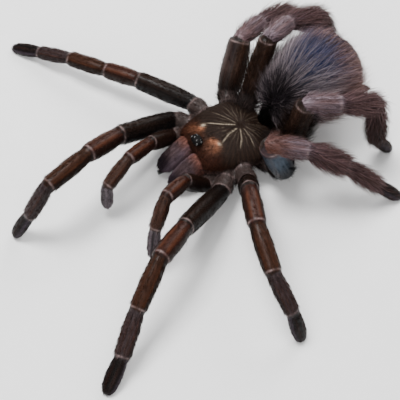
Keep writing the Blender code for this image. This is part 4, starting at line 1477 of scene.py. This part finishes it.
class GrowAbdomenCoat(bpy.types.Operator):
    """Grow the abdomen's short undercoat and its long swept hair."""

    bl_idname = "tarantula.abdomen_coat"
    bl_label = "Abdomen coat"

    def execute(self, context):
        look = palette()
        coat = context.scene.tarantula_coat
        ground = Ground("skin")
        found, share, turn = locate(ground.middles)
        body = next(region for region in REGIONS if region.kind == "abdomen")
        here = is_part(found, "body", "abdomen")
        for name in ("abdomen_undercoat", "abdomen_long_hair"):
            long = name == "abdomen_long_hair"
            draw = np.random.default_rng(SEED + 40 + long)
            count = coat.abdomen_strands if long else coat.undercoat_strands
            sides = (1.0 + 0.4 * step_curve(share, 0.05, 0.4)) \
                * (0.55 + 0.6 * step_curve(np.abs(turn), 0.35, 1.0))
            roots, normals = ground.scatter(here * sides if long else here, count, draw)
            colours, _, along, angle = flesh_colours(roots, look)
            round_it = np.sin(angle)[:, None]
            lies = np.array(body.way) + 0.38 * round_it * np.array(body.level) \
                - 0.25 * np.abs(round_it) * np.array(body.upright)
            places = np.stack([angle / (2 * math.pi) + 0.5, along], axis=1)
            front = step_curve(along, 0.08, 0.28)
            stand = 0.75 * (1 - step_curve(along, 0.02, 0.22))
            if long:
                rosy = step_curve(along + 0.25 * (np.abs(angle) - 0.6), 0.42, 0.68)
                blue = bump_curve(along, 0.56, 0.15) * bump_curve(angle, 0.0, 0.7)
                tint = draw.uniform(0.0, 1.0, count) ** 0.8 * (0.5 + 0.5 * front) \
                    * (1 - 0.6 * blue)
                colours = blend(colours, blend(look["pale_hair"], look["long_hair"], rosy), tint)
                length = coat.abdomen_hair / MM * (0.7 + 0.3 * step_curve(along, 0.05, 0.4)) \
                    * (1 - 0.65 * step_curve(along, 0.6, 1.0))
                flank = bump_curve(np.abs(angle), 1.5, 0.6) * bump_curve(along, 0.32, 0.2)
                lift = (0.34 + stand + 0.4 * flank) * (1 - 0.5 * step_curve(along, 0.5, 0.85))
                form = (length, 0.12, lift, 0.02, 0.12, 0.48)
            else:
                length = coat.undercoat_hair / MM * (1 + 1.3 * (1 - front))
                form = (length, 0.17, 0.42 + stand, 0.14, 0.0, 0.3)
            grow(name, "grey_lilac_fur", LONG_STRAND if long else SHORT_STRAND, draw, roots,
                 normals, lies, colours, places, *form)
        return {"FINISHED"}


class GrowVelvet(bpy.types.Operator):
    """Grow the velvet on the shield and the jaws, longer round the shield's edge and head."""

    bl_idname = "tarantula.velvet"
    bl_label = "Velvet"

    def execute(self, context):
        coat = context.scene.tarantula_coat
        length = coat.velvet / MM
        draw = np.random.default_rng(SEED + 60)
        ground = Ground("carapace_velvet")
        x, y, z = ground.middles.T
        patch = bump_curve(np.abs(x), 4.2, 1.7) * bump_curve(y, -11.8, 1.6)
        density = (z > CARAPACE_FLOOR + 0.2) * (1 - 0.5 * patch)
        roots, normals = ground.scatter(density, coat.velvet_strands, draw)
        x, y, z = roots.T
        lies = unit_rows(np.stack([x, y + 0.2, np.full(len(x), -0.2)], axis=1))
        places = (roots[:, :2] - ground.points.min(axis=0)[:2]) / np.ptp(ground.points, axis=0)[:2]
        edge = 1 - step_curve(z, CARAPACE_FLOOR + 1.2, CARAPACE_FLOOR + 2.4)
        head = 1 - step_curve(y, -15.0, -9.0)
        grow("carapace_hair", "olive_brown_velvet", SHORT_STRAND, draw, roots, normals, lies,
             shield_colours(roots, palette()), places, length * (1 + 1.6 * edge + 0.9 * head),
             0.1 + 0.03 * head, 0.3 + 0.25 * edge + 0.1 * head, 0.1, 0.1 + 0.15 * head, 0.38)
        for number, side_name in enumerate(SIDES):
            draw = np.random.default_rng(SEED + 61 + number)
            ground = Ground(f"jaw_{side_name}")
            density = ground.middles[:, 1] < JAW_HAIR_FROM
            roots, normals = ground.scatter(density, coat.velvet_strands // 2, draw)
            x, y, z = (roots - ground.points.mean(axis=0)).T
            share = (roots[:, 1] - ground.points[:, 1].min()) / np.ptp(ground.points[:, 1])
            places = np.stack([np.arctan2(x, z - y) / (2 * math.pi) + 0.5, share], axis=1)
            grow(f"jaw_hair_{side_name}", "purple_brown_hair", SHORT_STRAND, draw, roots, normals,
                 np.array([0.0, -0.7, -0.7]), jaw_colours(roots, palette()), places,
                 length * 1.8, 0.11, 0.4, 0.15, 0.15, 0.35)
        return {"FINISHED"}


class SetStage(bpy.types.Operator):
    """Set out the floor, the soft lights and the camera."""

    bl_idname = "tarantula.stage"
    bl_label = "Stage"

    def execute(self, context):
        scene = context.scene
        settings = scene.tarantula_stage
        bm = bmesh.new()
        bmesh.ops.create_circle(bm, cap_ends=True, segments=96, radius=FLOOR_RADIUS)
        mesh = bpy.data.meshes.new("studio_floor")
        bm.to_mesh(mesh)
        bm.free()
        mesh.materials.append(paper_material())
        floor = bpy.data.objects.new("studio_floor", mesh)
        scene.collection.objects.link(floor)

        scene.world = bpy.data.worlds.new("studio_air")
        scene.world.use_nodes = True
        air = scene.world.node_tree.nodes["Background"]
        air.inputs["Color"].default_value = (1.0, 1.0, 1.0, 1.0)
        air.inputs["Strength"].default_value = 0.6
        for name, (place, size, share) in LIGHTS.items():
            data = bpy.data.lights.new(name, "AREA")
            data.energy = settings.key_light * share
            data.size = size
            lamp = bpy.data.objects.new(name, data)
            lamp.location = place
            lamp.rotation_euler = (-Vector(place)).to_track_quat("-Z", "Y").to_euler()
            scene.collection.objects.link(lamp)

        turn, height = settings.azimuth, settings.elevation
        back = Vector((math.sin(turn) * math.cos(height), -math.cos(turn) * math.cos(height),
                       math.sin(height)))
        camera = bpy.data.objects.new("camera", bpy.data.cameras.new("camera"))
        camera.data.sensor_width = SENSOR_WIDTH
        camera.data.lens = SENSOR_WIDTH / 2 / math.tan(settings.field / 2)
        camera.data.clip_start = 0.01
        camera.location = (CAMERA_AIM + BODY_AT) * MM + back * settings.distance
        camera.rotation_euler = (-back).to_track_quat("-Z", "Y").to_euler()
        scene.collection.objects.link(camera)
        scene.camera = camera
        return {"FINISHED"}


class TarantulaPanel(bpy.types.Panel):
    """Lists the steps that build the animal."""

    bl_idname = "VIEW3D_PT_tarantula"
    bl_label = "Tarantula"
    bl_space_type = "VIEW_3D"
    bl_region_type = "UI"
    bl_category = "Tarantula"

    def draw(self, context):
        """Show the settings and the steps."""
        scene = context.scene
        for group in (scene.tarantula_coat, scene.tarantula_stage, scene.tarantula_colours):
            box = self.layout.box()
            for name in group.bl_rna.properties.keys():
                if name not in ("rna_type", "name"):
                    box.prop(group, name)
        for step in STEPS:
            self.layout.operator(step.bl_idname)


STEPS = (SetStage, MakeSkin, MakeShield, MakeJaws, MakeEyes, MakeClaws, GrowLegCoat,
         GrowBrushes, GrowAbdomenCoat, GrowVelvet)
CLASSES = (TarantulaColours, TarantulaCoat, TarantulaStage, *STEPS, TarantulaPanel)


def register():
    """Add the classes and the settings."""
    for item in CLASSES:
        bpy.utils.register_class(item)
    bpy.types.Scene.tarantula_colours = PointerProperty(type=TarantulaColours)
    bpy.types.Scene.tarantula_coat = PointerProperty(type=TarantulaCoat)
    bpy.types.Scene.tarantula_stage = PointerProperty(type=TarantulaStage)


def unregister():
    """Take the classes and the settings away."""
    del bpy.types.Scene.tarantula_stage
    del bpy.types.Scene.tarantula_coat
    del bpy.types.Scene.tarantula_colours
    for item in reversed(CLASSES):
        bpy.utils.unregister_class(item)


def main():
    """Build the whole animal on its stage."""
    register()
    for step in STEPS:
        group, name = step.bl_idname.split(".")
        getattr(getattr(bpy.ops, group), name)()


if __name__ == "__main__":
    main()
